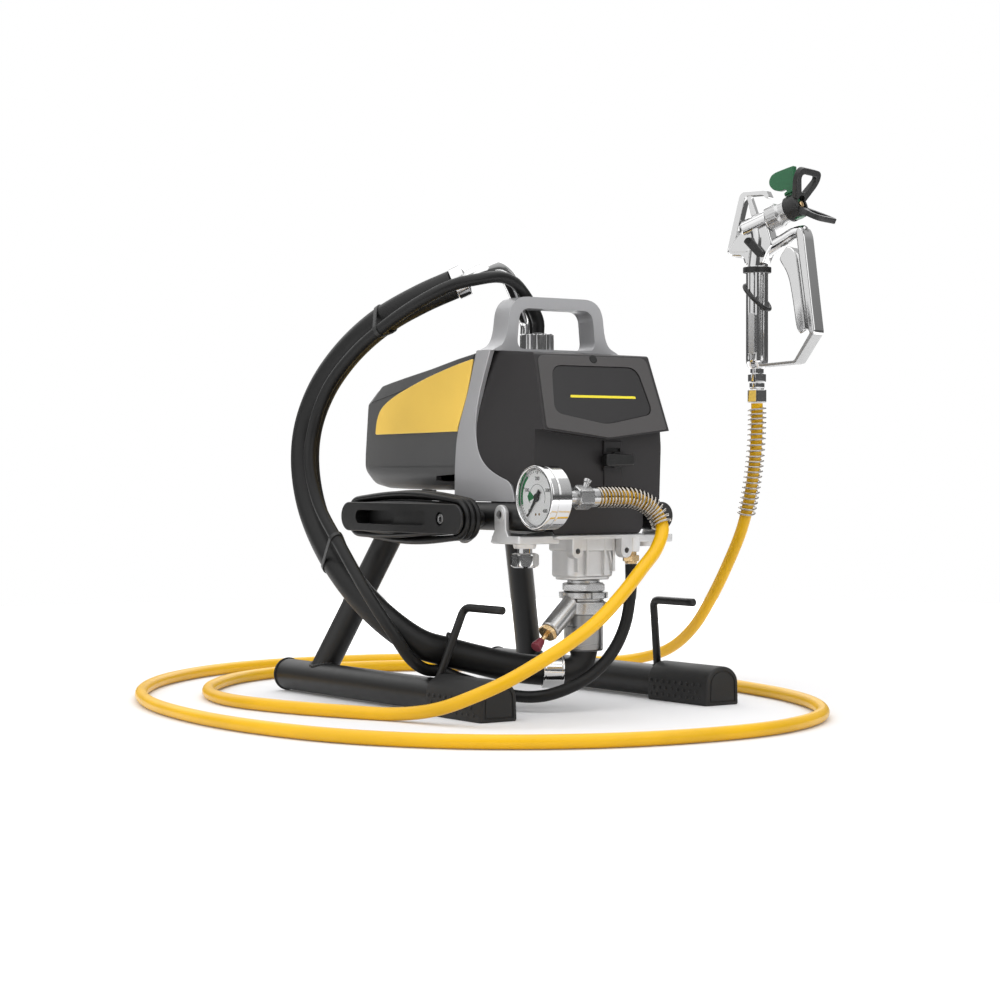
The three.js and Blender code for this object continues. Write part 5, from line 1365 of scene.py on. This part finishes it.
piece(on_gun(gather("clip",
                    [turned("ring", clip_ring, (0, 0, 0), UP, 72), tube("loop", loop_line, 2.5, 14), hump])),
      "grip_ring", BLACK_PLASTIC, "gun", "grip_clip")
nut_line = smooth_profile([(0, 18.4), (14.2, 18.4), (15, 19.4), (15, 33), (13.6, 35.4), (13, 37), (13, 44),
                           (0, 44)], 0.6)
piece(on_gun(turned("nut", nut_line, BARREL_FROM, BARREL, 144,
                    lambda a, r, d: r * (1 - 0.03 * (0.5 + 0.5 * math.cos(24 * a))) if 20 < d < 33 and r > 14 else r)),
      "barrel_nut", STEEL, "gun", "retaining_nut", 40)


def wing(degrees, wide=29):
    t = math.radians(degrees)
    lean = Vector((math.cos(t), 0, math.sin(t)))
    outer = soften([(-12, 8), (12, 8), (wide, 33), (wide - 4, 47), (4 - wide, 47), (-wide, 33)],
                   [1, 1, 10, 9, 9, 10], 6)
    inner = soften([(-5, 18), (5, 18), (18.5, 35.5), (16, 39.5), (-16, 39.5), (-18.5, 35.5)],
                   [2, 2, 4, 4, 4, 4], 4)
    flat = rounded(cut(prism("wing", outer, "z", -3.2, 3.2), prism("window", inner, "z", -6, 6)), 1.5, 3, 50)
    side = Vector((0, 1, 0))
    across = side.cross(lean)
    for vertex in flat.data.vertices:
        q = (vertex.co - ORIGIN) * 1000
        vertex.co = at(*(TIP + side * q.x + lean * q.y + across * q.z))
    return flat


saddle = turned("saddle", smooth_profile([(0, 45), (14.4, 45), (15.5, 46.4), (15.5, 62), (14, 64), (0, 64)],
                                         1.0), BARREL_FROM, BARREL, 64)
guard = fuse(saddle, wing(67), wing(-24, 26.4))
guard = cut(guard,
            turned("stem_room", [(0, -20), (7, -20), (7, -5.2), (9.7, -5.2), (9.7, 5.2), (7, 5.2), (7, 40),
                                 (0, 40)], TIP, LIFT, 48),
            turned("throat", [(0, 55), (9, 55), (9.6, 90), (0, 90)], BARREL_FROM, BARREL, 48))
piece(on_gun(guard), "spray_guard", BLACK_PLASTIC, "tip_guard", "tip_guard", 34)

flag = flat_part("flag", [(43, 588), (40, 594), (33, 591.5), (24, 593), (18, 599), (17.5, 606), (22, 613),
                          (35, 617), (51, 621), (51, 606), (50, 590)],
                 4, [2, 4, 8, 8, 6, 6, 8, 8, 2, 3, 2], 1.6)
flag = cut(flag, turned("room", [(0, -10), (40, -10), (40, 17), (0, 17)], TIP, LIFT, 48))
stem = turned("stem",
              smooth_profile([(0, -15), (5.6, -15), (6.4, -14), (6.4, 16.4), (9, 16.6), (9, 19.6), (0, 19.6)],
                             0.5), TIP, LIFT, 56)
piece(on_gun(gather("tip", [flag, stem])), "tip_paddle", GREEN, "spray_tip", "spray_tip", 38)
orifice = turned("orifice",
                 smooth_profile([(0, 60), (4.4, 60), (4.4, 63.6), (3.4, 64.5), (1.4, 64.5), (1.4, 63), (0, 63)],
                                0.4), BARREL_FROM, BARREL, 40)
piece(on_gun(orifice), "tip_orifice", BRASS, "spray_tip")

# ---- pieces kept as packed, with their finishes ---------------------------------------------------------------

KEPT = {"gauge_lens": CLEAR, "motor_body": DARK_STEEL, "motor_rotor": STEEL, "main_gear": STEEL,
        "crankshaft": STEEL,
        "connecting_rod": STEEL, "piston_rod": CHROME, "control_board": BOARD}
for node, finish in KEPT.items():
    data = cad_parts[node].data
    data.materials.clear()
    data.materials.append(finish)

# ---- floor and light ------------------------------------------------------------------------------------------


def studio():
    floor_data = bpy.data.meshes.new("floor")
    disc = [(2.0 * math.cos(math.radians(a)), 2.0 * math.sin(math.radians(a)), 0) for a in range(0, 360, 5)]
    floor_data.from_pydata(disc, [], [tuple(range(len(disc)))])
    floor = bpy.data.objects.new("studio_floor", floor_data)
    bpy.context.collection.objects.link(floor)
    pale = Finish("pale_floor")
    pale.shader.inputs["Specular IOR Level"].default_value = 0.0
    pale.feed("Roughness", pale.noise(3, 2) * 0.1 + 0.8)
    away = pale.node("ShaderNodeVectorMath", {"operation": "DISTANCE"}, {0: pale.place, 1: tuple(at(0, 0, 0))},
                     "Value")
    # The floor's colour is greyer near the machine and paler far from it: painted shade round the machine.
    near = pale.blend(pale.noise(2, 2), (0.76, 0.76, 0.77), (0.78, 0.78, 0.79))
    pale.feed("Base Color", pale.blend(away.within(0.35, 1.3), near, (0.92, 0.92, 0.92)))
    # The floor glows, faintly near the machine and strongly far from it: painted light.
    pale.feed("Emission Color", pale.blend(away.within(0.45, 1.5), (0.05, 0.05, 0.05), (0.85, 0.85, 0.85)))
    pale.shader.inputs["Emission Strength"].default_value = 1.0
    floor_data.materials.append(pale.material)

    world = bpy.data.worlds.new("studio")
    bpy.context.scene.world = world
    world.use_nodes = True
    nodes, links = world.node_tree.nodes, world.node_tree.links
    nodes.clear()
    ways = nodes.new("ShaderNodeTexCoord")
    split = nodes.new("ShaderNodeSeparateXYZ")
    ramp = nodes.new("ShaderNodeValToRGB")
    stops = [(0.0, 0.3), (0.48, 0.12), (0.54, 0.1), (0.64, 0.42), (0.8, 0.62), (1.0, 0.9)]
    for i, (place, light) in enumerate(stops):
        stop = ramp.color_ramp.elements[i] if i < 2 else ramp.color_ramp.elements.new(place)
        stop.position, stop.color = place, (light, light, light, 1)
    lift = nodes.new("ShaderNodeMath")
    lift.operation = "MULTIPLY_ADD"
    lift.inputs[1].default_value = lift.inputs[2].default_value = 0.5
    sky = nodes.new("ShaderNodeBackground")
    seen = nodes.new("ShaderNodeBackground")
    seen.inputs["Color"].default_value = (1, 1, 1, 1)
    seen.inputs["Strength"].default_value = 1.0
    sky.inputs["Strength"].default_value = 1.0
    path = nodes.new("ShaderNodeLightPath")
    mix = nodes.new("ShaderNodeMixShader")
    out = nodes.new("ShaderNodeOutputWorld")
    links.new(ways.outputs["Generated"], split.inputs[0])
    links.new(split.outputs["Z"], lift.inputs[0])
    links.new(lift.outputs[0], ramp.inputs[0])
    links.new(ramp.outputs[0], sky.inputs["Color"])
    links.new(path.outputs["Is Camera Ray"], mix.inputs[0])
    links.new(sky.outputs[0], mix.inputs[1])
    links.new(seen.outputs[0], mix.inputs[2])
    links.new(mix.outputs[0], out.inputs["Surface"])

    def softbox(name, place, target, width, height, power):
        light = bpy.data.lights.new(name, "AREA")
        light.shape = "RECTANGLE"
        light.size, light.size_y, light.energy = width, height, power
        made = bpy.data.objects.new(name, light)
        bpy.context.collection.objects.link(made)
        made.location = at(*place)
        made.rotation_euler = (at(*target) - at(*place)).to_track_quat("-Z", "Y").to_euler()

    softbox("top_box", (-100, -200, 2300), (0, 0, 150), 3.4, 3.4, 34)
    softbox("left_box", (-2300, 100, 1250), (200, 0, 300), 3.4, 2.7, 24)
    softbox("front_box", (300, -2600, 1500), (0, 0, 230), 2.6, 1.7, 16)
    softbox("right_box", (1500, 1500, 1500), (100, 0, 220), 1.3, 2.2, 11)
    softbox("back_box", (400, 2300, 1500), (0, 0, 250), 2.6, 1.6, 12)


studio()
bpy.context.scene.view_settings.view_transform = "Standard"
bpy.context.scene.view_settings.look = "None"

bpy.context.view_layer.update()
